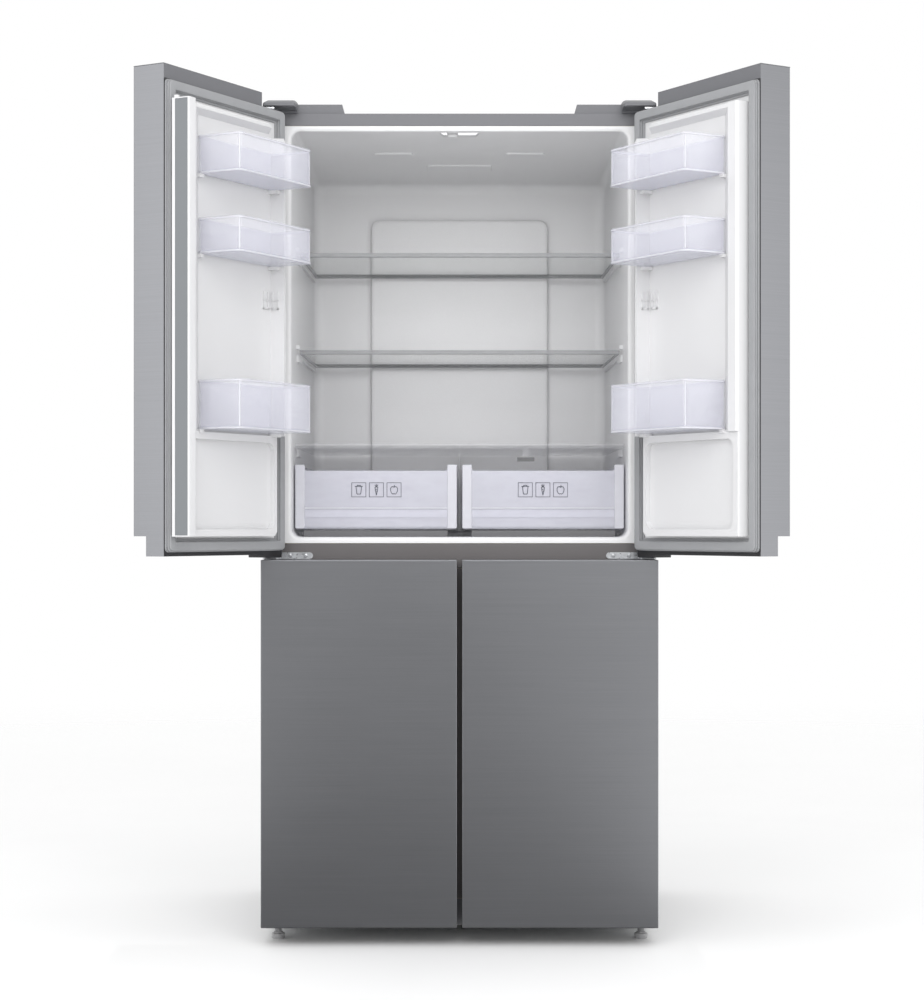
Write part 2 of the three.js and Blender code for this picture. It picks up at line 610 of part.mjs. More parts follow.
// ---------------------------------------------------------------- whole doors
function doorGroup(parent, degrees) {
  const door = new THREE.Group();
  door.position.set(-hingeX, -flange, 0);
  door.rotation.z = THREE.MathUtils.degToRad(-degrees);
  parent.add(door);
  return door;
}

function buildUpperDoors() {
  for (const { side, group } of SIDES) {
    const door = doorGroup(group, side === "left" ? LEFT_OPEN : RIGHT_OPEN);
    const name = `upper_${side}`;
    add(door, `${name}_skin`, upperSkin(), "brushedSteel");
    add(door, `${name}_liner`, upperLiner(side === "left"), "white");
    const ring = gasketRing(upperDoorBottom + GASKET.seat, capLine);
    add(door, `${name}_gasket`, ring, "rubber");
    add(door, `${name}_top_cap`, topCap(), "darkPlastic");
    add(door, `${name}_bottom_cap`, bottomCap(), "blackPlastic");
    for (const { name: part, z, height } of binPlaces)
      add(door, `${name}_${part}`, bin(z, height), "clear");
    if (side === "left") buildFlap(door);
  }
}

function lowerSkin() {
  const [z0, z1] = [LOWER_DOOR_BOTTOM, LOWER_DOOR_TOP];
  const { wall, width, end, depth } = GRIP_SLOT;
  const slotFront = doorFront + SHEET + FIT + wall;
  return block(doorStart, doorEnd, doorFront, doorBack, z0, z1)
    .subtract(
      block(
        doorStart + SHEET, doorEnd - SHEET, doorFront + SHEET, doorBack + 1, z0 + SHEET, z1 - SHEET,
      ),
    )
    .subtract(
      block(doorStart + end, doorEnd - end, slotFront, slotFront + width, z1 - depth, z1 + 1),
    )
    .subtract(rod(0, 0, z0 - 1, z0 + 2, BUSH_RADIUS))
    .subtract(rod(0, 0, z1 - 2, z1 + 1, BUSH_RADIUS));
}

function lowerLiner() {
  const inset = SHEET + FIT;
  const [z0, z1] = [LOWER_DOOR_BOTTOM + inset, LOWER_DOOR_TOP - inset];
  const { wall, width, end, depth } = GRIP_SLOT;
  const slotFront = doorFront + inset + wall;
  const { crest, floor, gap, rim } = FREEZER_PLUG;
  const [x0, x1] = [SIDE_WALL - HINGE_INSET + gap, hingeX - freezerInner - gap];
  const [low, high] = [freezerLow + gap + 2, freezerHigh - gap - 2];
  return block(doorStart + inset, doorEnd - inset, doorFront + inset, doorBack, z0, z1)
    .add(block(x0, x1, doorBack - 1, crest, low, high))
    .subtract(block(x0 + rim, x1 - rim, floor, crest + 1, low + rim, high - rim))
    .subtract(
      block(doorStart + end, doorEnd - end, slotFront, slotFront + width, z1 - depth, z1 + 1),
    )
    .subtract(rod(0, 0, z0 - 1, z0 + 18, BUSH_RADIUS))
    .subtract(rod(0, 0, z1 - 18, z1 + 1, BUSH_RADIUS));
}

function buildLowerDoors() {
  for (const { side, group } of SIDES) {
    const door = doorGroup(group, 0);
    const name = `lower_${side}`;
    add(door, `${name}_skin`, lowerSkin(), "brushedSteel");
    add(door, `${name}_liner`, lowerLiner(), "white");
    const ring = gasketRing(LOWER_DOOR_BOTTOM + GASKET.seat, LOWER_DOOR_TOP - GASKET.inset);
    add(door, `${name}_gasket`, ring, "rubber");
  }
}

// ---------------------------------------------------------------- inside the fridge
// A plate between the liner's side walls, which close in towards the back.
function betweenWalls(gap, front, back, z0, z1) {
  const [wide, narrow] = [front, back].map((y) => linerHalf - wallSlope * y - gap);
  return prism("z", [[-wide, front], [wide, front], [narrow, back], [-narrow, back]], z0, z1);
}

function buildShelves() {
  const names = ["upper_shelf", "lower_shelf"];
  shelfHeights.forEach((z, i) => {
    const { front, rearGap, sideGap, bar, barHeight, strip, glass } = SHELF;
    const back = linerDepth - rearGap;
    const seat = z + SHELF.seat;
    const trim = betweenWalls(sideGap, front, back, z, z + barHeight)
      .subtract(betweenWalls(sideGap - 1, front + bar, back - bar, seat - FIT, z + barHeight + 1))
      .subtract(betweenWalls(sideGap + strip, front + bar, back - bar, z - 1, seat))
      .subtract(betweenWalls(sideGap + 3, front + 3, back - 3, seat - FIT, seat + glass + FIT));
    add(stand, `${names[i]}_trim`, trim, "clear");
    const pane = betweenWalls(sideGap + 3 + FIT, front + 3 + FIT, back - 3 - FIT, seat, seat + glass);
    add(stand, `${names[i]}_glass`, pane, "glass");
  });
}

function buildCrispers() {
  const { low, thickness, lip, web } = CRISPER_COVER;
  const rear = linerDepth - SHELF.rearGap;
  const cover = betweenWalls(SIDE_GAP, CRISPER_FRONT, rear, low, low + thickness)
    .add(betweenWalls(SIDE_GAP, CRISPER_FRONT, CRISPER_FRONT + 6, low, low + lip))
    .add(block(-web / 2, web / 2, CRISPER_FRONT + 10, rear, FRIDGE_FLOOR + 5, low + 1));
  add(stand, "crisper_cover", cover, "clear");

  const { wall, post, gap, rearGap, high, frontHigh } = CRISPER;
  const back = linerDepth - rearGap;
  const outer = (y) => wallSlope * y + SIDE_GAP - linerHalf;
  const tub = (inset, z0, z1) => {
    const [y0, y1, x1] = [CRISPER_FRONT + inset, back - inset, -gap / 2 - inset];
    return prism("z", [[outer(y0) + inset, y0], [x1, y0], [x1, y1], [outer(y1) + inset, y1]], z0, z1);
  };
  const [x0, x1] = [outer(CRISPER_FRONT) + post, -gap / 2 - post];
  const notch = block(x0, x1, CRISPER_FRONT - 1, CRISPER_FRONT + wall + 1, frontHigh, high + 1);
  const drawer = tub(0, CRISPER.low, high).subtract(tub(wall, CRISPER.low + wall, high + 1)).subtract(notch);
  for (const { side, group } of SIDES) add(group, `crisper_${side}`, drawer, "clear");
}

function buildDuct() {
  const { half: wide, depth, low, drop, wall, corner } = DUCT;
  const [front, high] = [linerDepth - depth, CABINET_TOP - drop];
  const outline = roundedRect(-wide, wide, low, high, [0, 0, corner, corner]);
  const hollow = roundedRect(
    -wide + wall, wide - wall, low + wall, high - wall, [0, 0, corner - wall, corner - wall],
  );
  const cover = prism("y", outline, front, linerDepth - FIT)
    .subtract(prism("y", hollow, front + wall, linerDepth + 1));
  add(stand, "air_duct_cover", cover, "white");

  const { half: pocket, depth: pocketDepth, low: z0, high: z1 } = EVAPORATOR_POCKET;
  add(stand, "evaporator", finPack(pocket - 15, linerDepth + 3, linerDepth + pocketDepth - 3, z0 + 10, z1 - 10, 16),
    "aluminium");
}

// Upright fins on one bar: a comb, extruded along y.
function finPack(wide, y0, y1, z0, z1, count) {
  const [bar, fin] = [12, 3];
  const pitch = (2 * wide - fin) / (count - 1);
  const points = [[-wide, z0], [wide, z0]];
  for (let i = count - 1; i >= 0; i--) {
    const x = -wide + i * pitch;
    if (i < count - 1) points.push([x + fin, z0 + bar]);
    points.push([x + fin, z1], [x, z1]);
    if (i > 0) points.push([x, z0 + bar]);
  }
  return prism("y", points, y0, y1);
}

// ---------------------------------------------------------------- freezer drawers, machinery and feet
function buildFreezerDrawers() {
  const { low, high, wall, sideGap, front, rearGap } = DRAWER;
  const [x0, x1] = [-linerHalf + sideGap, -freezerInner - sideGap];
  for (const { side, group } of SIDES) {
    const drawer = block(x0, x1, front, freezerDepth - rearGap, low, high)
      .subtract(block(x0 + wall, x1 - wall, front + wall, freezerDepth - rearGap - wall, low + wall, high + 1));
    add(group, `freezer_drawer_${side}`, drawer, "clear");
  }
}

function buildMachinery() {
  const plateHalf = half - SHEET - FIT;
  const [plateLow, plateTop] = [CABINET_BASE - 2, CABINET_BASE];
  let plate = block(-plateHalf, plateHalf, 5, CABINET_DEPTH - 5, plateLow, plateTop + 1);
  const rollerX = half - ROLLER.inset;
  const rollerY = CABINET_DEPTH - ROLLER.back;
  for (const sign of [-1, 1])
    for (const edge of [-1, 1]) {
      const inner = sign * rollerX + edge * (ROLLER.width / 2 + 1);
      const outer = inner + edge * ROLLER.ear;
      const ear = block(
        Math.min(inner, outer), Math.max(inner, outer), rollerY - 12, rollerY + 12, 9, plateTop,
      ).subtract(rodAlongX(-half, half, rollerY, ROLLER.radius, ROLLER.axle + 0.6));
      plate = plate.add(ear);
    }
  add(stand, "base_plate", plate, "zinc");

  for (const { side, group } of SIDES) {
    const roller = rodAlongX(
      -rollerX - ROLLER.width / 2, -rollerX + ROLLER.width / 2, rollerY, ROLLER.radius, ROLLER.radius, 24,
    ).add(rodAlongX(-rollerX - 18, -rollerX + 18, rollerY, ROLLER.radius, ROLLER.axle));
    add(group, `rear_roller_${side}`, roller, "blackPlastic");
    const foot = rod(-half + FOOT.inset, FOOT.back, 0, FOOT.pad, FOOT.radius, 24)
      .add(rod(-half + FOOT.inset, FOOT.back, FOOT.pad - 1, plateLow - FIT, FOOT.stem + 3, 12));
    add(group, `front_foot_${side}`, foot, "darkPlastic");
  }

  const floor = plateTop + 1 + FIT;
  const middle = (machineFront + CABINET_DEPTH) / 2;
  const profile = [
    [0, floor + 4], [60, floor + 4], [76, floor + 24], [80, floor + 70], [76, floor + 118],
    [52, floor + 152], [22, floor + 164], [0, floor + 164],
  ];
  const compressor = solidOfRevolution(profile, -140, middle)
    .add(block(-215, -65, middle - 45, middle + 45, floor, floor + 10));
  add(stand, "compressor", compressor, "blackPaint");
  const condenser = finPack(150, middle - 60, middle + 50, floor, floor + 150, 12);
  add(stand, "condenser", shifted(condenser, 170), "blackPaint");

  const coverHalf = plateHalf;
  let cover = block(
    -coverHalf, coverHalf, CABINET_DEPTH - REAR_PANEL, CABINET_DEPTH, plateTop + 1 + FIT, machineTop - FIT,
  );
  for (const row of [0, 1, 2, 3, 4])
    for (const x of [-300, -100, 100, 300]) {
      const z = plateTop + 60 + 24 * row;
      cover = cover.subtract(block(x - 70, x + 70, CABINET_DEPTH - 3, CABINET_DEPTH + 1, z, z + 7));
    }
  add(stand, "machine_cover", cover, "zinc");
}

function shifted(solid, dx) {
  const { vertProperties, triVerts } = solid.getMesh();
  const geometry = new THREE.BufferGeometry();
  geometry.setAttribute("position", new THREE.BufferAttribute(vertProperties, 3));
  geometry.setIndex(new THREE.BufferAttribute(triVerts, 1));
  return toSolid(geometry.translate(dx, 0, 0));
}

buildCabinet();
buildLiners();
buildHinges();
buildUpperDoors();
buildLowerDoors();
buildFlapGuide();
buildShelves();
buildCrispers();
buildDuct();
buildFreezerDrawers();
buildMachinery();

// The part's origin is on the floor, under the middle of the object's depth as it stands.
const fridge = new THREE.Group();
fridge.add(stand);
fridge.updateMatrixWorld(true);
const extent = new THREE.Box3().setFromObject(stand, true);
stand.position.y = -Math.round((extent.min.y + extent.max.y) / 2);

export default fridge;
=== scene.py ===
"""Looks of a four-door French door refrigerator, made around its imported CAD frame.

Sizes are in millimetres until a mesh is made. A cabinet piece is drawn with y = 0 at the cabinet's front
face. A door piece is drawn closed, in its door's own frame: x runs along the width from the hinge axis,
y runs from the hinge axis into the cabinet, and z is the height over the floor.
"""

from __future__ import annotations

import json
import logging
import math
from collections.abc import Callable, Iterable, Sequence
from dataclasses import dataclass, field
from enum import Enum
from typing import Any, ClassVar

import bmesh
import bpy
from mathutils import Matrix, Vector

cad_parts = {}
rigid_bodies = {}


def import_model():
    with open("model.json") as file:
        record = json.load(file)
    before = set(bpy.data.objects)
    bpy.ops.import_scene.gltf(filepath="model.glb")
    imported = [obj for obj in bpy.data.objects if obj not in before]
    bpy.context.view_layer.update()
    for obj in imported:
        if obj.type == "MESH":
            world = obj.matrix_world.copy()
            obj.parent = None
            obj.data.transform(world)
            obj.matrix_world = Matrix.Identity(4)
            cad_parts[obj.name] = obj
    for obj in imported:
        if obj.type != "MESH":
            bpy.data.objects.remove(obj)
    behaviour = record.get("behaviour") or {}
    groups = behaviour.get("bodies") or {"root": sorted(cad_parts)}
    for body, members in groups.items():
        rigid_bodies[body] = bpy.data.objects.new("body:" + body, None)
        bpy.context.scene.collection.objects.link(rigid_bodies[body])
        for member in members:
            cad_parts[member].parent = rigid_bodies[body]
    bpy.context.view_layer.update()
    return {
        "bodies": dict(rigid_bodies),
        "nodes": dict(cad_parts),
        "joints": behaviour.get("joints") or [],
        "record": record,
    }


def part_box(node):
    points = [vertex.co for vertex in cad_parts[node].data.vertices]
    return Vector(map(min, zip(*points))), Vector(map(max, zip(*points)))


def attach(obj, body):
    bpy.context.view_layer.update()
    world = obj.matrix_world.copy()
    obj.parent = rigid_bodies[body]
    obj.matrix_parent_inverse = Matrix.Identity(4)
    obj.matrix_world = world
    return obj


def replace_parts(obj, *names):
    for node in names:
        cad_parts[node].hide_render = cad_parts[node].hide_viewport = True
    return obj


LOG = logging.getLogger("refrigerator")
MM = 0.001
SHARP_TURN = 32.0  # edges that turn by more degrees than this stay sharp
SOFT_TURN = 25.0  # edges that turn by more degrees than this are rounded
LEAST_RADIUS = 0.05  # of a turned piece, so that its end stays open
SEAL_GAP = 0.05  # between a seal and its hem

Point = tuple[float, float]
Colour = tuple[float, float, float]
Rings = list[list[Vector]]
Setting = dict[str, Any]


# ---------------------------------------------------------------- shader maths
class Kind(Enum):
    """What a socket carries."""

    VALUE = "VALUE"
    VECTOR = "VECTOR"
    COLOUR = "RGBA"


class Signal:
    """A shader socket that adds the node it needs when it is used in an expression."""

    def __init__(self, graph: Graph, socket: bpy.types.NodeSocket, kind: Kind) -> None:
        """Keeps the socket and what it carries.

        Args:
            graph: The material's node tree.
            socket: The socket.
            kind: What it carries.
        """
        self.graph = graph
        self.socket = socket
        self.kind = kind

    def _math(self, operation: str, first: Any, second: Any = None) -> Signal:
        """Adds the node of one operation.

        Args:
            operation: The name of a Math or Vector Math operation.
            first: The left operand.
            second: The right operand, if the operation has one.

        Returns:
            The node's result.
        """
        inputs = {0: first} if second is None else {0: first, 1: second}
        if self.kind is Kind.VECTOR:
            node = self.graph.node("ShaderNodeVectorMath", {"operation": operation}, inputs)
            return Signal(self.graph, node.outputs[0], Kind.VECTOR)
        node = self.graph.node("ShaderNodeMath", {"operation": operation}, inputs)
        return Signal(self.graph, node.outputs[0], Kind.VALUE)

    def __add__(self, other: Any) -> Signal:
        """Adds."""
        return self._math("ADD", self, other)

    def __radd__(self, other: Any) -> Signal:
        """Adds to a number."""
        return self._math("ADD", other, self)

    def __sub__(self, other: Any) -> Signal:
        """Subtracts."""
        return self._math("SUBTRACT", self, other)

    def __rsub__(self, other: Any) -> Signal:
        """Subtracts from a number."""
        return self._math("SUBTRACT", other, self)

    def __mul__(self, other: Any) -> Signal:
        """Multiplies."""
        return self._math("MULTIPLY", self, other)

    def __rmul__(self, other: Any) -> Signal:
        """Multiplies a number."""
        return self._math("MULTIPLY", other, self)

    def __pow__(self, other: float) -> Signal:
        """Raises to a power."""
        return self._math("POWER", self, other)

    def clamped(self) -> Signal:
        """Keeps the value from 0 to 1."""
        node = self.graph.node("ShaderNodeClamp", {}, {"Value": self})
        return Signal(self.graph, node.outputs[0], Kind.VALUE)


class Graph:
    """The node tree of one material."""

    def __init__(self, name: str) -> None:
        """Makes a material with one Principled BSDF on its output.

        Args:
            name: The material's name.
        """
        self.material = bpy.data.materials.new(name)
        self.material.use_nodes = True
        self.tree = self.material.node_tree
        self.surface = self.tree.nodes["Principled BSDF"]

    def node(self, kind: str, settings: Setting, inputs: dict[Any, Any]) -> bpy.types.Node:
        """Adds a node.

        Args:
            kind: The node's type.
            settings: Properties to set first. "stops" holds a ramp's (place, colour) pairs.
            inputs: A value or a signal for each socket, by name or number.

        Returns:
            The node.
        """
        node = self.tree.nodes.new(kind)
        for key, value in settings.items():
            if key == "stops":
                self._set_stops(node.color_ramp, value)
            else:
                setattr(node, key, value)
        for key, value in inputs.items():
            self.feed(node.inputs[key], value)
        return node

    @staticmethod
    def _set_stops(ramp: bpy.types.ColorRamp, stops: Sequence[tuple[float, Colour]]) -> None:
        """Sets a ramp's stops.

        Args:
            ramp: The ramp to set.
            stops: Its (place, colour) pairs.
        """
        while len(ramp.elements) < len(stops):
            ramp.elements.new(0.5)
        for element, (place, colour) in zip(ramp.elements, stops):
            element.position = place
            element.color = (*colour, 1.0)

    def feed(self, socket: bpy.types.NodeSocket, value: Any) -> None:
        """Links a signal to a socket, or sets a plain value on it.

        Args:
            socket: The socket to feed.
            value: A signal, a number, or three numbers for a vector or a colour.
        """
        if isinstance(value, Signal):
            self.tree.links.new(value.socket, socket)
        elif socket.type == "RGBA" and len(value) == 3:
            socket.default_value = (*value, 1.0)
        else:
            socket.default_value = value

    def coordinates(self) -> Signal:
        """Returns the place on the piece, in metres."""
        node = self.node("ShaderNodeTexCoord", {}, {})
        return Signal(self, node.outputs["Object"], Kind.VECTOR)

    def noise(self, place: Signal, scale: float, detail: float = 2.0, roughness: float = 0.5) -> Signal:
        """Adds smooth noise.

        Args:
            place: Where it is sampled.
            scale: Waves per metre.
            detail: Octaves of finer noise.
            roughness: Strength of each octave against the one before.

        Returns:
            The noise, about 0.5.
        """
        inputs = {"Vector": place, "Scale": scale, "Detail": detail, "Roughness": roughness}
        node = self.node("ShaderNodeTexNoise", {}, inputs)
        return Signal(self, node.outputs[0], Kind.VALUE)

    def cells(self, place: Signal, scale: float) -> Signal:
        """Returns a random tone for each cell of a cellular pattern of that many cells per metre.

        Args:
            place: Where it is sampled.
            scale: Cells per metre.

        Returns:
            The tone, from 0 to 1.
        """
        node = self.node("ShaderNodeTexVoronoi", {}, {"Vector": place, "Scale": scale})
        grey = self.node("ShaderNodeSeparateColor", {}, {0: Signal(self, node.outputs["Color"], Kind.COLOUR)})
        return Signal(self, grey.outputs[0], Kind.VALUE)

    def grains(self, place: Signal, scale: float) -> Signal:
        """Returns the distance to the nearest grain of that many grains per metre."""
        node = self.node("ShaderNodeTexVoronoi", {}, {"Vector": place, "Scale": scale})
        return Signal(self, node.outputs["Distance"], Kind.VALUE)

    def distance(self, place: Signal) -> Signal:
        """Returns how far a place is from the piece's own origin."""
        node = self.node("ShaderNodeVectorMath", {"operation": "LENGTH"}, {0: place})
        return Signal(self, node.outputs["Value"], Kind.VALUE)

    def facing(self) -> Signal:
        """Returns 0 where the surface is seen straight on and 1 at its silhouette."""
        node = self.node("ShaderNodeLayerWeight", {}, {"Blend": 0.5})
        return Signal(self, node.outputs["Facing"], Kind.VALUE)

    def mix(self, low: Colour | Signal, high: Colour | Signal, factor: Signal) -> Signal:
        """Mixes two colours.

        Args:
            low: The colour at 0.
            high: The colour at 1.
            factor: How much of the second colour.

        Returns:
            The mixed colour.
        """
        node = self.node("ShaderNodeMix", {"data_type": "RGBA"}, {0: factor, 6: low, 7: high})
        return Signal(self, node.outputs[2], Kind.COLOUR)

    def bump(self, height: Signal, strength: float, depth: float) -> Signal:
        """Turns a height into a normal.

        Args:
            height: The height, about 0 to 1.
            strength: How much it shows.
            depth: The real height of 1, in millimetres.

        Returns:
            The normal.
        """
        inputs = {"Height": height, "Strength": strength, "Distance": depth * MM}
        node = self.node("ShaderNodeBump", {}, inputs)
        return Signal(self, node.outputs[0], Kind.VECTOR)

    def shade(self, **sockets: Any) -> None:
        """Feeds the Principled BSDF, with an underscore for each space in a socket's name."""
        for key, value in sockets.items():
            self.feed(self.surface.inputs[key.replace("_", " ")], value)


# ---------------------------------------------------------------- finishes
@dataclass(frozen=True)
class Finish:
    """What one kind of surface is made of.

    Attributes:
        name: The material's name.
        slot: The record's material slot.
        colour: Its middle colour.
        roughness: Its middle roughness.
    """

    name: str
    slot: str
    colour: Colour
    roughness: float
    made: ClassVar[dict[str, bpy.types.Material]] = {}

    def material(self) -> bpy.types.Material:
        """Returns the material, made the first time it is asked for.

        Returns:
            The material.
        """
        if self.name not in Finish.made:
            graph = Graph(self.name)
            self.paint(graph)
            Finish.made[self.name] = graph.material
        return Finish.made[self.name]

    def paint(self, graph: Graph) -> None:
        """Feeds the surface's sockets."""
        raise NotImplementedError

    def tones(self, spread: float) -> tuple[Colour, Colour]:
        """Returns a darker and a lighter colour, each that share away from the middle one."""
        low, high = (tuple(min(1.0, c * k) for c in self.colour) for k in (1 - spread, 1 + spread))
        return low, high


@dataclass(frozen=True)
class BrushedSteel(Finish):
    """Steel sheet with a fine level brushing under a satin lacquer."""

    spread: float = 0.085

    def paint(self, graph: Graph) -> None:
        """Draws long hair lines, with softer and broader bands behind them.

        Args:
            graph: The material's node tree.
        """
        place = graph.coordinates()
        hair = graph.noise(place * (5.0, 5.0, 900.0), 1.0, 3.0, 0.65)
        band = graph.noise(place * (1.6, 1.6, 120.0), 1.0, 2.0, 0.6)
        cloud = graph.noise(place, 2.2, 1.0)
        level = (0.5 + 1.3 * (hair - 0.5) + 0.35 * (band - 0.5) + 0.25 * (cloud - 0.5)).clamped()
        low, high = self.tones(self.spread)
        graph.shade(
            Base_Color=graph.mix(low, high, level),
            Metallic=0.92,
            Roughness=self.roughness + 0.16 * (hair - 0.5) + 0.05 * (cloud - 0.5),
            Normal=graph.bump(hair, 0.10, 0.04),
            Coat_Weight=0.08,
            Coat_Roughness=0.25,
        )


@dataclass(frozen=True)
class Paint(Finish):
    """Sprayed or powder-coated metal with a little orange peel."""

    metallic: float = 0.25
    peel: float = 0.12

    def paint(self, graph: Graph) -> None:
        """Draws the peel, a fine sparkle and slow changes of tone.

        Args:
            graph: The material's node tree.
        """
        place = graph.coordinates()
        peel = graph.noise(place, 420.0, 2.0)
        fleck = graph.noise(place, 2600.0, 1.0)
        cloud = graph.noise(place, 3.5, 2.0)
        low, high = self.tones(0.07)
        graph.shade(
            Base_Color=graph.mix(low, high, (0.5 + 0.7 * (fleck - 0.5) + 0.9 * (cloud - 0.5)).clamped()),
            Metallic=self.metallic,
            Roughness=self.roughness + 0.08 * (cloud - 0.5) + 0.06 * (fleck - 0.5),
            Normal=graph.bump(peel, self.peel, 0.06),
        )


@dataclass(frozen=True)
class Moulding(Finish):
    """Opaque plastic, thermoformed or injection moulded.

    Attributes:
        grain: Grains per metre of its texture.
        relief: How strongly the texture shows.
    """

    grain: float = 1800.0
    relief: float = 0.06

    def paint(self, graph: Graph) -> None:
        """Draws the mould's grain, with a slow drift of tone and gloss as the sheet thins.

        Args:
            graph: The material's node tree.
        """
        place = graph.coordinates()
        grain = graph.noise(place, self.grain, 2.0)
        drift = graph.noise(place, 5.0, 2.0)
        sink = graph.noise(place, 14.0, 1.0)
        low, high = self.tones(0.025)
        graph.shade(
            Base_Color=graph.mix(low, high, (0.5 + 1.2 * (drift - 0.5) + 0.3 * (grain - 0.5)).clamped()),
            Roughness=self.roughness + 0.10 * (drift - 0.5) + 0.06 * (grain - 0.5),
            Normal=graph.bump(grain + 2.5 * sink, self.relief, 0.12),
            IOR=1.5,
        )


@dataclass(frozen=True)
class EtchedMoulding(Finish):
    """Plastic with a coarse leather-like grain, as on an air duct's cover."""

    def paint(self, graph: Graph) -> None:
        """Draws rounded grains, each a little different in tone.

        Args:
            graph: The material's node tree.
        """
        place = graph.coordinates()
        grains = graph.grains(place, 620.0)
        fine = graph.noise(place, 1500.0, 2.0)
        cloud = graph.noise(place, 6.0, 2.0)
        low, high = self.tones(0.05)
        graph.shade(
            Base_Color=graph.mix(low, high, (0.35 + 0.5 * grains + 0.6 * (cloud - 0.5)).clamped()),
            Roughness=self.roughness + 0.12 * (fine - 0.5),
            Normal=graph.bump(grains + 0.4 * fine, 0.35, 0.25),
        )


@dataclass(frozen=True)
class ClearPlastic(Finish):
    """Transparent plastic, which looks denser where it is seen edge on.

    Attributes:
        density: How opaque a wall is seen straight on.
        edge: How much more opaque its edges are.
        edge_colour: The tone its edges take.
    """

    density: float = 0.3
    edge: float = 0.6
    edge_colour: Colour = (0.50, 0.52, 0.60)

    def paint(self, graph: Graph) -> None:
        """Draws flow marks and the bright, dense edges.

        Args:
            graph: The material's node tree.
        """
        place = graph.coordinates()
        flow = graph.noise(place * (1.0, 1.0, 2.5), 26.0, 2.0)
        facing = graph.facing()
        graph.shade(
            Base_Color=graph.mix(self.colour, self.edge_colour, (facing**1.5 + 0.3 * (flow - 0.5)).clamped()),
            Roughness=self.roughness + 0.06 * (flow - 0.5),
            Alpha=(self.density + self.edge * facing**2.0 + 0.08 * (flow - 0.5)).clamped(),
            Normal=graph.bump(flow, 0.03, 0.2),
            IOR=1.49,
        )
        graph.material.surface_render_method = "BLENDED"


@dataclass(frozen=True)
class Glass(Finish):
    """A pane of toughened glass with green edges."""

    edge_colour: Colour = (0.42, 0.47, 0.46)

    def paint(self, graph: Graph) -> None:
        """Draws a faint waviness and the tint that gathers at a grazing view.

        Args:
            graph: The material's node tree.
        """
        place = graph.coordinates()
        wave = graph.noise(place, 9.0, 2.0)
        facing = graph.facing()
        graph.shade(
            Base_Color=graph.mix(self.colour, self.edge_colour, (facing * 0.9).clamped()),
            Roughness=self.roughness + 0.03 * wave,
            Alpha=(0.05 + 0.24 * facing**3.0 + 0.03 * (wave - 0.5)).clamped(),
            Normal=graph.bump(wave, 0.05, 0.3),
            IOR=1.52,
        )
        graph.material.surface_render_method = "BLENDED"


@dataclass(frozen=True)
class Rubber(Finish):
    """Soft vinyl of a magnetic seal."""

    def paint(self, graph: Graph) -> None:
        """Draws a dull skin with extrusion lines and a little dust.

        Args:
            graph: The material's node tree.
        """
        place = graph.coordinates()
        skin = graph.noise(place, 1300.0, 3.0)
        dust = graph.noise(place, 22.0, 3.0, 0.7)
        low, high = self.tones(0.06)
        graph.shade(
            Base_Color=graph.mix(low, high, (0.5 + 1.3 * (dust - 0.5)).clamped()),
            Roughness=self.roughness + 0.12 * (dust - 0.5),
            Normal=graph.bump(skin, 0.18, 0.1),
        )


@dataclass(frozen=True)
class Zinc(Finish):
    """Zinc-coated steel with its spangle."""

    spangle: float = 90.0

    def paint(self, graph: Graph) -> None:
        """Draws crystals of differing tone and gloss, with faint rolling marks.

        Args:
            graph: The material's node tree.
        """
        place = graph.coordinates()
        crystal = graph.cells(place, self.spangle)
        mark = graph.noise(place * (1.0, 1.0, 12.0), 60.0, 2.0)
        low, high = self.tones(0.16)
        graph.shade(
            Base_Color=graph.mix(low, high, (0.25 + 0.5 * crystal + 0.5 * (mark - 0.5)).clamped()),
            Metallic=0.85,
            Roughness=self.roughness + 0.14 * (crystal - 0.5) + 0.08 * (mark - 0.5),
            Normal=graph.bump(mark, 0.08, 0.05),
        )


STEEL = BrushedSteel("brushed_steel", "brushed_door_steel", (0.250, 0.254, 0.268), 0.36)
CABINET_PAINT = Paint("cabinet_paint", "painted_steel", (0.135, 0.136, 0.146), 0.42)
RAIL_PAINT = Paint("rail_paint", "rail_paint", (0.135, 0.127, 0.128), 0.45)
FLAP_STEEL = Paint("flap_steel", "flap_steel", (0.165, 0.175, 0.185), 0.40)
BLACK_ENAMEL = Paint("black_enamel", "black_enamel", (0.012, 0.012, 0.014), 0.28, 0.0, 0.3)
BLACK_STEEL = Paint("black_steel", "black_steel", (0.03, 0.03, 0.032), 0.4)
LINER = Moulding("inner_liner", "inner_liner", (0.745, 0.745, 0.753), 0.36)
# Painted shade: the door liners' plastic is set darker than the cabinet liner's to hold back the strong light
# that falls on them here.
DOOR_LINER = Moulding("door_liner", "door_liner", (0.64, 0.64, 0.648), 0.36)
WHITE = Moulding("white_plastic", "white_plastic", (0.62, 0.62, 0.63), 0.42)
DARK_CAP = Moulding("dark_cap", "dark_plastic", (0.135, 0.137, 0.148), 0.48, 2600.0, 0.25)
BLACK = Moulding("black_plastic", "black_plastic", (0.018, 0.018, 0.02), 0.45, 2600.0, 0.25)
FOOT = Moulding("foot_plastic", "foot_plastic", (0.36, 0.36, 0.37), 0.42, 2600.0, 0.2)
ROLLER = Moulding("roller_nylon", "roller_plastic", (0.05, 0.05, 0.05), 0.5, 2600.0, 0.2)
# Painted shadow: the dark plastic of the blocks that stand for the shade under the crispers.
SHADOW = Moulding("recess_plastic", "black_plastic", (0.14, 0.14, 0.145), 0.6, 2600.0, 0.2)
SLIDER = Moulding("slider_plastic", "dark_plastic", (0.11, 0.11, 0.115), 0.45, 2600.0, 0.2)
DUCT = EtchedMoulding("duct_grain", "duct_plastic", (0.75, 0.75, 0.757), 0.5)
BIN_PLASTIC = ClearPlastic(
    "bin_plastic", "clear_plastic", (0.84, 0.84, 0.93), 0.10, 0.14, 0.62, (0.60, 0.61, 0.70)
)
CRISPER_PLASTIC = ClearPlastic(
    "crisper_plastic", "clear_plastic", (0.80, 0.80, 0.88), 0.14, 0.40, 0.45, (0.66, 0.67, 0.76)
)
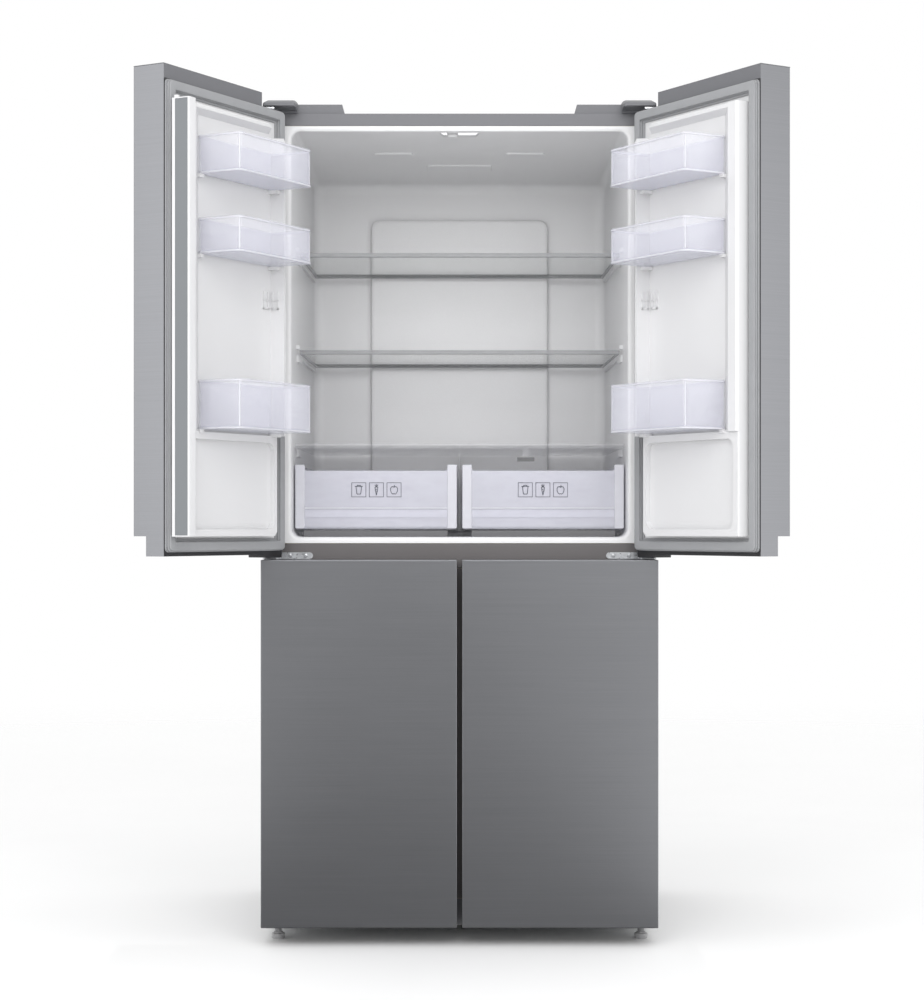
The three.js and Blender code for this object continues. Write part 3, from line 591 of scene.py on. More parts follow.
FROSTED = ClearPlastic(
    "frosted_plastic", "clear_plastic", (0.68, 0.68, 0.73), 0.22, 0.80, 0.20, (0.62, 0.62, 0.68)
)
TRIM_PLASTIC = ClearPlastic(
    "trim_plastic", "clear_plastic", (0.36, 0.365, 0.375), 0.18, 0.55, 0.35, (0.30, 0.31, 0.33)
)
COVER_PLASTIC = ClearPlastic(
    "cover_plastic", "clear_plastic", (0.86, 0.86, 0.90), 0.10, 0.07, 0.62, (0.50, 0.51, 0.54)
)
PANE = Glass("shelf_pane", "shelf_glass", (0.80, 0.83, 0.82), 0.04)
SEAL = Rubber("seal_vinyl", "gasket_rubber", (0.285, 0.29, 0.30), 0.62)
HINGE_ZINC = Zinc("hinge_zinc", "zinc_steel", (0.62, 0.63, 0.65), 0.34, 420.0)
SHEET_ZINC = Zinc("sheet_zinc", "zinc_sheet", (0.42, 0.43, 0.44), 0.42)
FIN_METAL = Zinc("fin_aluminium", "aluminium_fins", (0.62, 0.63, 0.64), 0.38, 300.0)
FOAM = EtchedMoulding("foam_cells", "foam", (0.66, 0.56, 0.34), 0.9)
INK = Moulding("icon_ink", "dark_plastic", (0.07, 0.075, 0.10), 0.6)


# ---------------------------------------------------------------- drawing
def rounded_rect(
    a0: float, a1: float, b0: float, b1: float, radii: Sequence[float], steps: int = 6
) -> list[Point]:
    """Draws a rectangle with round corners, anticlockwise from its lowest corner.

    Args:
        a0: Low first coordinate.
        a1: High first coordinate.
        b0: Low second coordinate.
        b1: High second coordinate.
        radii: The radius of each corner.
        steps: Straight pieces in each corner, the same for a sharp one.

    Returns:
        The outline's points.
    """
    corners = ((a0, b0, 1, 1, 180), (a1, b0, -1, 1, 270), (a1, b1, -1, -1, 0), (a0, b1, 1, -1, 90))
    points: list[Point] = []
    for (a, b, da, db, start), radius in zip(corners, radii):
        radius = max(radius, 0.02)
        for k in range(steps + 1):
            turn = math.radians(start + 90 * k / steps)
            points.append((a + radius * (da + math.cos(turn)), b + radius * (db + math.sin(turn))))
    return points


def circle(a: float, b: float, radius: float, steps: int = 32) -> list[Point]:
    """Draws a circle about (a, b)."""
    turns = (2 * math.pi * k / steps for k in range(steps))
    return [(a + radius * math.cos(t), b + radius * math.sin(t)) for t in turns]


class Side(Enum):
    """A side of the cabinet, seen from the front."""

    LEFT = "left"
    RIGHT = "right"

    @property
    def mirror(self) -> Matrix:
        """The mirror that turns a piece drawn on the left into this side's."""
        sign = 1 if self is Side.LEFT else -1
        return Matrix.Diagonal((sign, 1, 1, 1))


class Axis(Enum):
    """The way an outline is extruded. The outline's points are in the other two axes, in order."""

    X = 0
    Y = 1
    Z = 2

    def at(self, point: Point, along: float) -> Vector:
        """Returns the place of an outline's point at a station.

        Args:
            point: The outline's point.
            along: The station.

        Returns:
            The place, in millimetres.
        """
        values = list(point)
        values.insert(self.value, along)
        return Vector(values)

    def ring(self, outline: Iterable[Point], along: float) -> list[Vector]:
        """Returns an outline's points at a station."""
        return [self.at(point, along) for point in outline]


@dataclass
class Bench:
    """A place to draw pieces: a frame in millimetres and the body that carries what is made there.

    Attributes:
        frame: From drawing millimetres to metres in the room.
        body: The CAD body that carries the pieces.
    """

    frame: Matrix
    body: str

    def keep(
        self, name: str, mesh: bmesh.types.BMesh, finish: Finish, sharp: float = SHARP_TURN
    ) -> bpy.types.Object:
        """Makes an object of a mesh drawn here.

        Args:
            name: The piece's name.
            mesh: The mesh, in millimetres. It is used up.
            finish: What it is made of.
            sharp: Edges that turn by more than this many degrees stay sharp.

        Returns:
            The object, riding on this bench's body.
        """
        mesh.transform(self.frame @ Matrix.Diagonal((MM, MM, MM, 1)))
        bmesh.ops.recalc_face_normals(mesh, faces=mesh.faces)
        data = bpy.data.meshes.new(name)
        mesh.to_mesh(data)
        mesh.free()
        return self.own(bpy.data.objects.new(name, data), finish, sharp)

    def own(self, piece: bpy.types.Object, finish: Finish, sharp: float = SHARP_TURN) -> bpy.types.Object:
        """Dresses an object and puts it on this bench's body.

        Args:
            piece: The object, with its mesh in metres.
            finish: What it is made of.
            sharp: Edges that turn by more than this many degrees stay sharp.

        Returns:
            The same object.
        """
        data = piece.data
        data.materials.clear()
        data.materials.append(finish.material())
        data.shade_smooth()
        data.set_sharp_from_angle(angle=math.radians(sharp))
        if piece.name not in bpy.context.scene.collection.objects:
            bpy.context.scene.collection.objects.link(piece)
        flat = piece.modifiers.new("flat_faces", "WEIGHTED_NORMAL")
        flat.keep_sharp = True
        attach(piece, self.body)
        LOG.info("%s: %d faces on %s", piece.name, len(data.polygons), self.body)
        return piece

    def loft(self, name: str, rings: Rings, finish: Finish, closed: bool = False) -> bpy.types.Object:
        """Joins rings of equal counts into one closed skin.

        Args:
            name: The piece's name.
            rings: The rings, in millimetres.
            finish: What it is made of.
            closed: Joins the last ring to the first, in place of a face on each.

        Returns:
            The piece.
        """
        mesh = bmesh.new()
        rows = [[mesh.verts.new(p) for p in ring] for ring in rings]
        pairs = list(zip(rows, rows[1:] + rows[:1])) if closed else list(zip(rows, rows[1:]))
        for low, high in pairs:
            for k in range(len(low)):
                j = (k + 1) % len(low)
                mesh.faces.new((low[k], low[j], high[j], high[k]))
        if not closed:
            mesh.faces.new(rows[0])
            mesh.faces.new(rows[-1])
        return self.keep(name, mesh, finish)

    def prism(
        self, name: str, axis: Axis, outline: Sequence[Point], span: Point, finish: Finish, edge: float = 0.6
    ) -> bpy.types.Object:
        """Extrudes an outline and rounds its edges.

        Args:
            name: The piece's name.
            axis: The way it is extruded.
            outline: The outline's points.
            span: Where it starts and ends.
            finish: What it is made of.
            edge: The radius of its edges.

        Returns:
            The piece.
        """
        mesh = bmesh.new()
        rows = [[mesh.verts.new(axis.at(p, along)) for p in outline] for along in span]
        for k in range(len(outline)):
            j = (k + 1) % len(outline)
            mesh.faces.new((rows[0][k], rows[0][j], rows[1][j], rows[1][k]))
        mesh.faces.new(rows[0])
        mesh.faces.new(rows[1])
        soften(mesh, edge, 2)
        return self.keep(name, mesh, finish)

    def block(
        self, name: str, low: Sequence[float], high: Sequence[float], finish: Finish, edge: float = 0.6
    ) -> bpy.types.Object:
        """Makes a block with round edges between two corners.

        Args:
            name: The piece's name.
            low: The lowest corner.
            high: The highest corner.
            finish: What it is made of.
            edge: The radius of its edges.

        Returns:
            The piece.
        """
        outline = [(low[0], low[1]), (high[0], low[1]), (high[0], high[1]), (low[0], high[1])]
        return self.prism(name, Axis.Z, outline, (low[2], high[2]), finish, edge)

    def vessel(
        self, name: str, outline: Callable[[float], list[Point]], stations: Sequence[Point], finish: Finish
    ) -> bpy.types.Object:
        """Makes a tub or tray: walls that follow an outline, up outside and down inside to its floor.

        Args:
            name: The piece's name.
            outline: The plan outline at an inset from the outer wall.
            stations: The wall's profile as (inset, height) pairs.
            finish: What it is made of.

        Returns:
            The piece.
        """
        rings = [Axis.Z.ring(outline(inset), z) for inset, z in stations]
        return self.loft(name, rings, finish)

    def turned(
        self, name: str, axis: Axis, centre: Point, profile: Sequence[Point], finish: Finish, steps: int = 32
    ) -> bpy.types.Object:
        """Turns a profile about an axis.

        Args:
            name: The piece's name.
            axis: The way its axis runs.
            centre: The axis's place in the other two axes.
            profile: (radius, place along the axis) pairs.
            finish: What it is made of.
            steps: Straight pieces around.

        Returns:
            The piece.
        """
        rings = [
            axis.ring(circle(*centre, max(radius, LEAST_RADIUS), steps), along) for radius, along in profile
        ]
        return self.loft(name, rings, finish)

    def rework(
        self, node: str, finish: Finish, edge: float, steps: int = 2, sharp: float = SHARP_TURN,
        spare: Callable[[Vector], bool] | None = None,
    ) -> bpy.types.Object:
        """Makes a CAD node's finer twin, with its facets merged and its edges rounded.

        Args:
            node: The CAD node.
            finish: What it is made of.
            edge: The radius of its edges, in millimetres.
            steps: Facets in each rounded edge.
            sharp: Edges that turn by more than this many degrees stay sharp.
            spare: Says whether the edge about a place, in this bench's millimetres, is left as it is.

        Returns:
            The piece, which stands for the node.
        """
        mesh = bmesh.new()
        mesh.from_mesh(bpy.data.objects[node].data)
        bmesh.ops.remove_doubles(mesh, verts=mesh.verts, dist=2e-6)
        bmesh.ops.dissolve_limit(mesh, angle_limit=math.radians(1.0), verts=mesh.verts, edges=mesh.edges)
        back = self.frame.inverted()
        soften(mesh, edge * MM, steps, (lambda p: spare(back @ p / MM)) if spare else None)
        data = bpy.data.meshes.new(f"{node}_fine")
        mesh.to_mesh(data)
        mesh.free()
        piece = self.own(bpy.data.objects.new(data.name, data), finish, sharp)
        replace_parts(piece, node)
        return piece

    def carve(self, piece: bpy.types.Object, cutter: Callable[[Bench], bpy.types.Object]) -> None:
        """Cuts one drawn piece out of another.

        Args:
            piece: The piece that keeps its name.
            cutter: Draws the piece to take away.
        """
        tool = cutter(self)
        change = piece.modifiers.new("cut", "BOOLEAN")
        change.operation, change.object, change.solver = "DIFFERENCE", tool, "EXACT"
        graph = bpy.context.evaluated_depsgraph_get()
        graph.update()
        data = bpy.data.meshes.new_from_object(piece.evaluated_get(graph))
        piece.modifiers.remove(change)
        data.set_sharp_from_angle(angle=math.radians(SHARP_TURN))
        old, piece.data = piece.data, data
        data.name = old.name
        bpy.data.meshes.remove(old)
        bpy.data.meshes.remove(tool.data)


def soften(
    mesh: bmesh.types.BMesh, width: float, steps: int, spare: Callable[[Vector], bool] | None = None
) -> None:
    """Rounds the edges of a mesh that turn by more than 25 degrees.

    Args:
        mesh: The mesh to change.
        width: The radius, in the mesh's own unit.
        steps: Facets in each rounded edge.
        spare: Says whether the edge about a place is left as it is.
    """
    if width <= 0:
        return
    limit = math.radians(SOFT_TURN)
    edges = [e for e in mesh.edges if len(e.link_faces) == 2 and e.calc_face_angle(0.0) > limit]
    if spare:
        edges = [e for e in edges if not spare((e.verts[0].co + e.verts[1].co) / 2)]
    bmesh.ops.bevel(
        mesh, geom=edges, offset=width, offset_type="OFFSET", segments=steps, profile=0.5,
        affect="EDGES", clamp_overlap=True,
    )


# ---------------------------------------------------------------- the room the pieces share
@dataclass
class Room:
    """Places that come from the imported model.

    Attributes:
    """

    frame: dict[str, Any]
    front: float = field(init=False)

    def __post_init__(self) -> None:
        """Finds the cabinet's front face."""
        self.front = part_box("cabinet_wrapper")[0][1]

    def cabinet(self, side: Side = Side.LEFT, body: str = "cabinet") -> Bench:
        """Returns a bench in the cabinet's frame, mirrored for the right side."""
        return Bench(side.mirror @ Matrix.Translation((0, self.front, 0)), body)

    def door(self, level: str, side: Side, body: str = "") -> Bench:
        """Returns a bench in a door's frame.

        Args:
            level: "upper" or "lower".
            side: The door's side.
            body: The body that carries the pieces, if not the door's own.

        Returns:
            The bench, turned by as much as the door stands open.
        """
        name = f"{level}_{side.value}_door"
        joint = next(j for j in self.frame["joints"] if j["child"] == name)
        x, y, _ = joint["pos_m"]
        opened = math.radians(joint["range_deg"][0])
        place = Matrix.Translation((-abs(x), y, 0)) @ Matrix.Rotation(opened, 4, "Z")
        return Bench(side.mirror @ place, body or name)


# ---------------------------------------------------------------- small parts
@dataclass
class Screw:
    """A pan-head screw with a cross recess.

    Attributes:
        radius: The head's radius.
        height: How far the head stands proud.
    """

    radius: float = 4.2
    height: float = 1.9

    def fix(self, bench: Bench, name: str, x: float, y: float, z: float, out: int, finish: Finish) -> None:
        """Puts one screw's head on a face that looks along y.

        Args:
            bench: Where it is drawn.
            name: The piece's name.
            x: Its place along the face.
            y: The face it sits on.
            z: Its height.
            out: -1 where the face looks to the front, 1 where it looks to the back.
            finish: What it is made of.
        """
        r, h = self.radius, self.height * out
        profile = [(r * 0.98, y), (r, y + 0.3 * h), (r * 0.86, y + 0.75 * h), (r * 0.62, y + h)]
        rings = [Axis.Y.ring(circle(x, z, rad, 24), along) for rad, along in profile]
        arm, deep = r * 0.5, y + 0.35 * h
        cross = [self._cross(x, z, arm, r * 0.13), self._cross(x, z, arm * 0.8, r * 0.09)]
        rings += [Axis.Y.ring(ring, along) for ring, along in zip(cross, (y + h, deep))]
        bench.loft(name, rings, finish)

    @staticmethod
    def _cross(x: float, z: float, arm: float, half: float) -> list[Point]:
        """Draws a cross of 24 points about (x, z), to match the head's rings.

        Args:
            x: Its middle along the face.
            z: Its height.
            arm: How far its arms reach.
            half: Half an arm's width.

        Returns:
            Its points.
        """
        points = []
        for k in range(24):
            turn = 2 * math.pi * k / 24
            a, b = math.cos(turn), math.sin(turn)
            reach = arm if min(abs(a), abs(b)) < 0.2 else half * 1.5
            points.append((x + reach * a, z + reach * b))
        return points


@dataclass
class Seal:
    """A door's magnetic gasket: a base strip, a soft fold and the magnet's channel.

    Attributes:
        x0: Its outer edge on the hinge side.
        x1: Its outer edge on the free side.
        base: The door's inner face.
        profile: The section, as (inset, height over the base) pairs.
    """

    x0: float = -9.0
    x1: float = 396.0
    base: float = 27.3
    profile: tuple[Point, ...] = (
        (0.0, 0.0), (0.4, 2.6), (3.6, 3.4), (1.6, 5.4), (1.2, 7.4), (4.4, 8.4), (3.0, 9.6), (3.2, 11.2),
        (5.0, 12.1), (18.5, 12.1), (20.2, 11.2), (20.4, 9.4), (18.6, 8.2), (22.0, 6.8), (22.2, 4.8),
        (20.0, 3.6), (26.4, 2.8), (27.0, 0.0),
    )

    def fit(self, bench: Bench, node: str, low: float, high: float) -> None:
        """Makes the gasket of a door.

        Args:
            bench: The door's bench.
            node: The CAD node that it stands for.
            low: Its lower edge.
            high: Its upper edge.
        """
        rings = []
        for inset, height in self.profile:
            radius = max(1.0, 9.0 - 0.3 * inset)
            edges = (self.x0 + inset, self.x1 - inset, low + inset, high - inset)
            rings.append(Axis.Y.ring(rounded_rect(*edges, [radius] * 4, 4), self.base + height))
        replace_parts(bench.loft(f"{node}_lips", rings, SEAL, closed=True), node)
        hem = []
        for inset, height in ((-0.6, -0.25), (-0.6, 0.15), (4.0, 0.15), (4.0, -0.25)):
            edges = (-10.8 + inset, 397.8 - inset, low - 1.0 + inset, high + 1.0 - inset)
            hem.append(Axis.Y.ring(rounded_rect(*edges, [3.0] * 4, 4), self.base - SEAL_GAP + height))
        bench.loft(f"{node}_hem", hem, BLACK, closed=True)


# ---------------------------------------------------------------- cabinet
@dataclass
class Cabinet:
    """The outer case, its rails and its back.

    Attributes:
        depth: The cabinet's depth.
        beads: The middle of each of the back's stiffening beads.
    """

    depth: float = 650.0
    beads: tuple[float, ...] = (-270, 0, 270)

    def build(self, room: Room) -> None:
        """Builds the case.

        Args:
            room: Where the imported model's places come from.
        """
        bench = room.cabinet()
        bench.rework("cabinet_wrapper", CABINET_PAINT, 0.35)
        bench.rework("cabinet_insulation", FOAM, 0.0)
        bench.rework("center_rail", RAIL_PAINT, 0.8)
        bench.rework("freezer_post", RAIL_PAINT, 0.8)
        bench.rework("rear_panel", SHEET_ZINC, 0.3)
        bench.rework("machine_cover", SHEET_ZINC, 0.3)
        bench.rework("base_plate", SHEET_ZINC, 0.4)
        self._add_back_beads(bench)
        self._add_back_screws(bench)

    def _add_back_beads(self, bench: Bench) -> None:
        """Presses long stiffening beads into the rear panel.

        Args:
            bench: Where it is drawn.
        """
        for k, x in enumerate(self.beads):
            rings = []
            for inset, y in ((0.0, self.depth - 0.4), (2.5, self.depth + 0.9), (6.0, self.depth + 1.7)):
                half = 14 - inset
                plan = rounded_rect(x - half, x + half, 330 + inset, 1660 - inset, [half] * 4)
                rings.append(Axis.Y.ring(plan, y))
            bench.loft(f"rear_bead_{k + 1}", rings, SHEET_ZINC)

    def _add_back_screws(self, bench: Bench) -> None:
        """Screws the rear panel and the machine cover to the case.

        Args:
            bench: Where it is drawn.
        """
        screw = Screw()
        heights = [252, 610, 970, 1330, 1745]
        places = [(x, z) for z in heights for x in (-402, 402)]
        places += [(x, z) for x in (-402, -134, 134, 402) for z in (46, 224)]
        for k, (x, z) in enumerate(places):
            screw.fix(bench, f"back_screw_{k + 1}", x, self.depth, z, 1, HINGE_ZINC)


@dataclass
class HingeSet:
    """The hinges and the cover over the upper one, on one side. Drawn on the left.

    Attributes:
        outer: The cover's outer edge.
        inner: The inner edge of its high part.
        top: The top of its high part.
    """

    outer: float = -415.6
    inner: float = -346.0
    top: float = 1793.0

    def build(self, room: Room, side: Side) -> None:
        """Builds one side's hinges.

        Args:
            room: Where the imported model's places come from.
            side: The side it is made for.
        """
        bench = room.cabinet(side)
        bench.rework(f"top_hinge_{side.value}", HINGE_ZINC, 0.5)
        bench.rework(f"middle_hinge_{side.value}", HINGE_ZINC, 0.7, 3)
        bench.rework(f"bottom_hinge_{side.value}", BLACK_STEEL, 0.6)
        for piece in (self._cover(bench, side), self._cover_base(bench, side)):
            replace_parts(piece, f"hinge_cover_{side.value}")
        screw = Screw(4.6, 2.2)
        for k, x in enumerate((-361.5, -328.0)):
            screw.fix(bench, f"middle_hinge_screw_{side.value}_{k + 1}", x, -3.3, 819.4, -1, HINGE_ZINC)

    def _cover(self, bench: Bench, side: Side) -> bpy.types.Object:
        """Lofts the high part of the cover, which slopes down over the door's hinge.

        Args:
            bench: Where it is drawn.
            side: The side it is made for.

        Returns:
            The high part.
        """
        drop = self.top
        stations = (
            (-58, 7.0, drop - 23, 1768.5), (-57, 3.0, drop - 19.5, 1767.5), (-54.5, 1.0, drop - 17.6, 1766.8),
            (-48, 0.0, drop - 15.6, 1766.6), (-34, 0.0, drop - 11.5, 1766.6), (-16, 0.0, drop - 6.5, 1766.6),
            (-3, 0.0, drop - 3.2, 1766.6), (-1, 0.0, drop - 2.9, 1762.4), (15, 0.0, drop - 0.8, 1762.4),
            (30, 0.0, drop, 1762.4), (72, 0.0, drop, 1762.4), (80, 0.3, drop - 1.6, 1762.4),
            (84.5, 1.2, drop - 5, 1762.4), (86, 3.0, drop - 9, 1762.4),
        )
        rings = []
        for y, inset, high, low in stations:
            round_top = min(9.0, (high - low) * 0.45)
            round_low = min(1.0, (high - low) * 0.2)
            edges = (self.outer + inset, self.inner - inset, low, high)
            plan = rounded_rect(*edges, [round_low, round_low, round_top, round_top], 6)
            rings.append(Axis.Y.ring(plan, y))
        return bench.loft(f"hinge_cover_cap_{side.value}", rings, DARK_CAP)

    def _cover_base(self, bench: Bench, side: Side) -> bpy.types.Object:
        """Makes the low part of the cover, with its slanted inner end.

        Args:
            bench: Where it is drawn.
            side: The side it is made for.

        Returns:
            The low part.
        """
        low, high = 1762.4, 1782.0
        outline = [(self.inner - 6, low), (-245.0, low), (-250.5, high), (self.inner - 6, high)]
        return bench.prism(f"hinge_cover_base_{side.value}", Axis.Y, outline, (4.0, 96.0), DARK_CAP, 1.6)


# ---------------------------------------------------------------- inside the fridge
@dataclass
class FridgeInterior:
    """The fridge's moulded tub and what stands in it.

    Attributes:
        rim: Half the rim's width.
        mouth: Half the opening's width.
        floor: The tub's floor at the front.
        ceiling: The tub's ceiling at the front.
        back: The back wall.
        taper: How much narrower each side is at the back.
        fall: How much lower the ceiling is at the back.
        shelves: The height under each shelf.
        cover: The height under the crispers' cover.
    """

    rim: float = 376.4
    mouth: float = 359.0
    floor: float = 859.0
    ceiling: float = 1724.0
    back: float = 556.0
    taper: float = 12.0
    fall: float = 28.0
    shelves: tuple[float, ...] = (1470.2, 1257.7)
    cover: float = 1050.0

    def wall(self, y: float) -> float:
        """Returns half the tub's width at a depth."""
        return self.mouth - self.taper * y / self.back

    def roof(self, y: float) -> float:
        """Returns the ceiling's height at a depth."""
        return self.ceiling - self.fall * y / self.back

    def build(self, room: Room) -> None:
        """Builds the inside.

        Args:
            room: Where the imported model's places come from.
        """
        bench = room.cabinet()
        self._tub(bench)
        for side in Side:
            self._rests(room.cabinet(side), side)
        self._duct(bench)
        self._light(bench)
        for name, low in zip(("upper_shelf", "lower_shelf"), self.shelves):
            bench.rework(f"{name}_trim", TRIM_PLASTIC, 1.3, 3)
            bench.rework(f"{name}_glass", PANE, 0.5)
        bench.rework("crisper_cover", COVER_PLASTIC, 1.2, 3)
        bench.rework("flap_guide", WHITE, 0.8)
        bench.rework("evaporator", FIN_METAL, 0.0)
        self._slider(bench)

    def _ring(self, y: float, grow: float, radius: float) -> list[Vector]:
        """Draws the tub's section at a depth, grown by a little.

        Args:
            y: The depth.
            grow: How much larger it is than the inside.
            radius: The radius of its corners.

        Returns:
            The ring's points.
        """
        side = self.wall(y) + grow
        outline = rounded_rect(-side, side, self.floor - grow, self.roof(y) + grow, [radius + grow] * 4, 8)
        return Axis.Y.ring(outline, y)

    def _rim_ring(self, y: float) -> list[Vector]:
        """Draws the rim's outer edge at a depth."""
        outline = rounded_rect(-self.rim, self.rim, 845.6, 1735.0, [2.0] * 4, 8)
        return Axis.Y.ring(outline, y)

    def _tub(self, bench: Bench) -> None:
        """Lofts the tub from its back wall out to its rim and round to the outside.

        Args:
            bench: Where it is drawn.
        """
        deep = self.back
        corner = ((0.2, -26), (1.0, -18), (4.5, -9), (10, -3.2), (18, -0.6))
        rings = [self._ring(deep - off, grow, 27) for off, grow in corner]
        rings += [self._ring(y, 0, 18) for y in (deep - 30, 420, 300, 200, 120, 60, 22, 10)]
        rings += [self._ring(y, grow, 18) for y, grow in ((5, 0.5), (2.4, 2.0), (0.8, 4.6), (0, 8))]
        rings += [self._rim_ring(0), self._rim_ring(2)]
        rings += [self._ring(y, 2.0, 18) for y in (2, 60, 300, deep)]
        tub = bench.loft("fridge_tub", rings, LINER)
        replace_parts(tub, "fridge_liner")

    def _rests(self, bench: Bench, side: Side) -> None:
        """Moulds the rests that hold the shelves and the crispers' cover to a side wall.

        Args:
            bench: Where it is drawn.
            side: The side it is made for.
        """
        for level, low in enumerate((*self.shelves, self.cover)):
            spans = [("under", 118, 176, low - 16, low - 0.6), ("over", 104, 130, low + 11, low + 20)]
            spans.append(("rail", 176, 528, low - 9, low - 0.6))
            for label, y0, y1, z0, z1 in spans[: 3 if level < 2 else 1]:
                deep = 7.0
                outline = [(-self.wall(y0) - 1, y0), (deep - self.wall(y0), y0 + 12),
                           (deep - self.wall(y1), y1 - 6), (-self.wall(y1) - 1, y1)]
                name = f"shelf_rest_{side.value}_{level + 1}_{label}"
                bench.prism(name, Axis.Z, outline, (z0, z1), LINER, 3.4)

    def _duct(self, bench: Bench) -> None:
        """Lofts the grained cover of the air duct, with a soft edge all round.

        Args:
            bench: Where it is drawn.
        """
        rings = []
        face = self.back - 22
        edge = ((face, 9.0), (face + 0.7, 4.4), (face + 2.6, 1.5), (face + 6, 0.0), (self.back - 0.5, -1.0))
        for y, inset in edge:
            radii = [4, 4, 21 - inset * 0.8, 21 - inset * 0.8]
            outline = rounded_rect(-210 + inset, 210 - inset, 872 + inset, 1610 - inset, radii, 8)
            rings.append(Axis.Y.ring(outline, y))
        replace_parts(bench.loft("air_duct_shell", rings, DUCT), "air_duct_cover")

    def _light(self, bench: Bench) -> None:
        """Sets the ceiling lamp's lens and its two vents flush in the ceiling.

        Args:
            bench: Where it is drawn.
        """
        slope = math.atan2(self.fall, self.back)
        for name, x0, x1, y0, y1 in (
            ("lamp_lens", -74, 74, 330, 392),
            ("ceiling_vent_left", -190, -104, 205, 222),
            ("ceiling_vent_right", 104, 190, 205, 222),
        ):
            rings = []
            for drop, inset in ((0.6, 0.0), (-1.6, 0.4), (-3.0, 1.8), (-3.6, 4.5)):
                outline = rounded_rect(x0 + inset, x1 - inset, y0 + inset, y1 - inset, [8 - inset] * 4, 5)
                rings.append([Vector((x, y, self.roof(y) + drop * math.cos(slope))) for x, y in outline])
            bench.loft(name, rings, LINER)

    def _slider(self, bench: Bench) -> None:
        """Adds the humidity slider that hangs under the front of the crispers' cover."""
        bench.block("humidity_slider", (124, 41, 1021.5), (161, 45, 1030), SLIDER, 1.8)
        bench.block("humidity_slider_stem", (136, 42, 1028.5), (149, 44.5, 1049.5), COVER_PLASTIC, 0.8)


class Icon(Enum):
    """A drawing on a crisper's front, as open or closed lines in a 1 by 1 square."""

    CUP = (
        ((0.30, 0.74), (0.36, 0.24), (0.40, 0.20), (0.60, 0.20), (0.64, 0.24), (0.70, 0.74)),
        ((0.24, 0.74), (0.76, 0.74)),
        ((0.36, 0.74), (0.40, 0.82), (0.60, 0.82), (0.64, 0.74)),
    )
    CARROT = (
        ((0.40, 0.66), (0.43, 0.44), (0.50, 0.14), (0.57, 0.44), (0.60, 0.66), (0.54, 0.72), (0.46, 0.72),
         (0.40, 0.66)),
        ((0.50, 0.72), (0.50, 0.88)),
        ((0.48, 0.73), (0.40, 0.84)),
        ((0.52, 0.73), (0.60, 0.84)),
        ((0.43, 0.52), (0.50, 0.52)),
        ((0.52, 0.38), (0.56, 0.38)),
    )
    APPLE = (
        ((0.50, 0.68), (0.42, 0.73), (0.31, 0.70), (0.25, 0.58), (0.26, 0.42), (0.33, 0.27), (0.42, 0.20),
         (0.50, 0.23), (0.58, 0.20), (0.67, 0.27), (0.74, 0.42), (0.75, 0.58), (0.69, 0.70), (0.58, 0.73),
         (0.50, 0.68)),
        ((0.50, 0.68), (0.53, 0.82)),
    )


